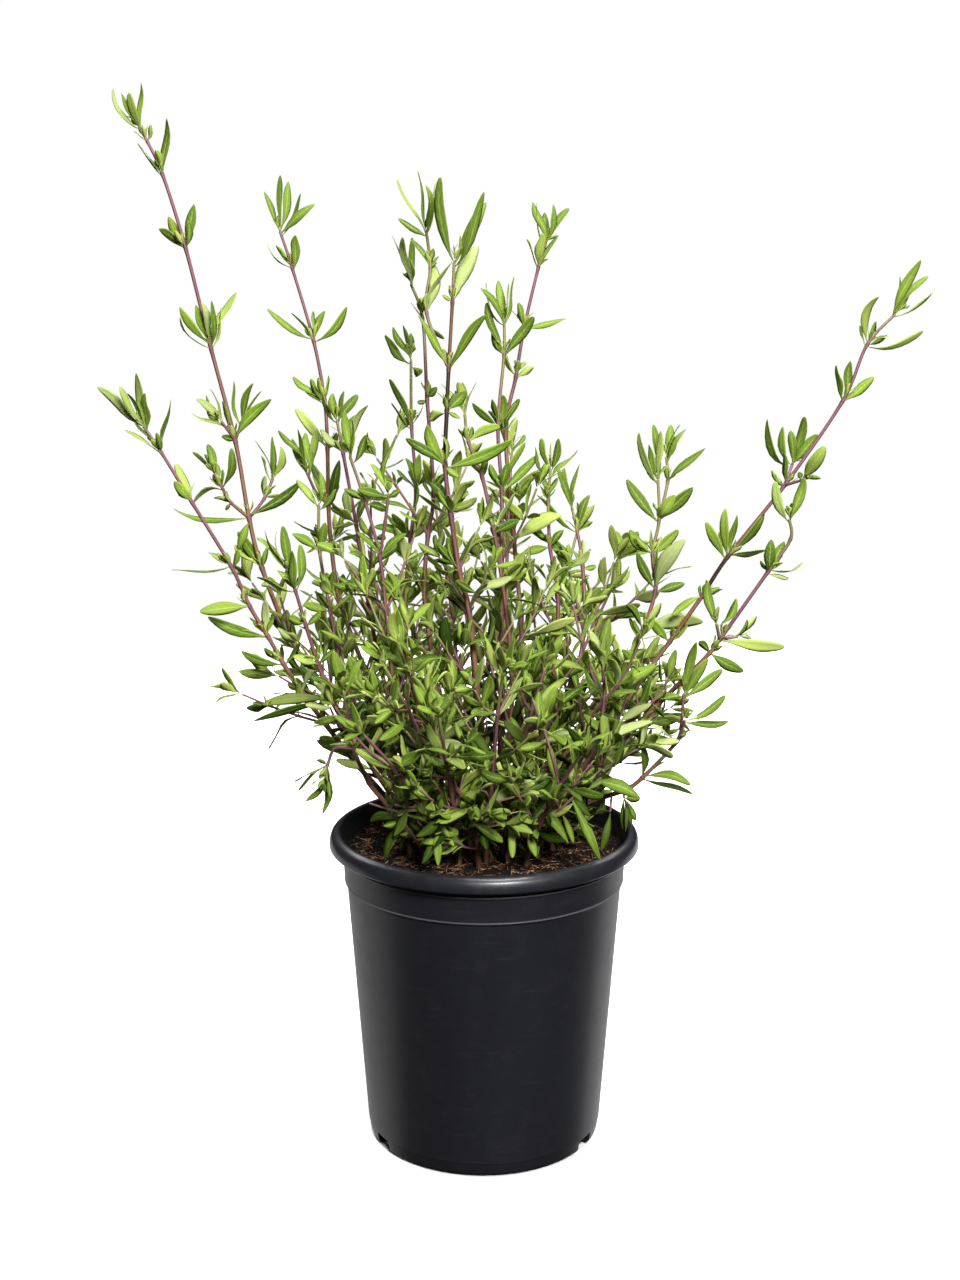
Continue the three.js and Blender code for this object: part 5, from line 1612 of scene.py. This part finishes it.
def make_floor():
    bm = bmesh.new()
    bmesh.ops.create_circle(bm, cap_ends=True, segments=96, radius=FLOOR_RADIUS)
    floor = add_object("floor", mesh_from(bm, "floor"))
    look = Look("floor_white")
    x, y, _ = look.node("ShaderNodeSeparateXYZ", None, {0: look.place()})
    clear = ((x * x + y * y) ** 0.5).above(*GLOW_START)
    floor.data.materials.append(look.shade(
        Base_Color=(1.0, 1.0, 1.0), Roughness=1.0, Specular_IOR_Level=0.0,
        Emission_Color=look.mix(clear, (0, 0, 0), (1, 1, 1)), Emission_Strength=FLOOR_GLOW))
    floor.visible_diffuse = False
    floor.visible_glossy = False
    floor.visible_shadow = False


def make_world():
    """A world that looks white to the camera but gives little light."""
    world = bpy.data.worlds.new("studio")
    bpy.context.scene.world = world
    world.use_nodes = True
    nodes, links = world.node_tree.nodes, world.node_tree.links
    glow = nodes["Background"]
    glow.inputs["Strength"].default_value = WORLD_GLOW
    backdrop = nodes.new("ShaderNodeBackground")
    for background in (glow, backdrop):
        background.inputs["Color"].default_value = (1, 1, 1, 1)
    both = nodes.new("ShaderNodeMixShader")
    rays = nodes.new("ShaderNodeLightPath")
    links.new(rays.outputs["Is Camera Ray"], both.inputs[0])
    links.new(glow.outputs[0], both.inputs[1])
    links.new(backdrop.outputs[0], both.inputs[2])
    links.new(both.outputs[0], nodes["World Output"].inputs["Surface"])


def make_plant():
    """All leafy pieces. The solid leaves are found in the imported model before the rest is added."""
    stems = [Stem(*entry, index) for index, entry in enumerate(STEMS)]
    for i, (x, y, across, up, away) in enumerate(BUSH):
        route = bush_route(across, up, (x, y))
        stems.append(Stem(f"stem_bush_{i + 1:02d}", (x, y), away, FOOT_WIDTH, route, len(stems)))
    looks = [bark_look(), leaf_look("sage_leaf", False), leaf_look("sage_leaf_underside", True)]
    for stem in stems:
        find_turns(stem)
        stem.add_base()
    add_hanging(stems)
    for stem in stems:
        trim_paint_shade_and_light(stem)
        make_leafy_piece(stem, looks)


make_camera()
make_floor()
make_world()
for light in LIGHTS:
    make_light(*light)
bpy.context.scene.view_settings.view_transform = "Standard"
make_plant()
make_pot([plastic_look()])
make_soil([soil_look("soil_dark", SOIL_COLOURS)])
draw = dice(4401)
make_crumbs(draw, soil_look("soil_crumb", CRUMB_COLOURS, 500))
make_chips(draw, soil_look("bark_chip", CHIP_COLOURS, 300))
make_fibres(draw, soil_look("root_fibre", FIBRE_COLOURS, 420))
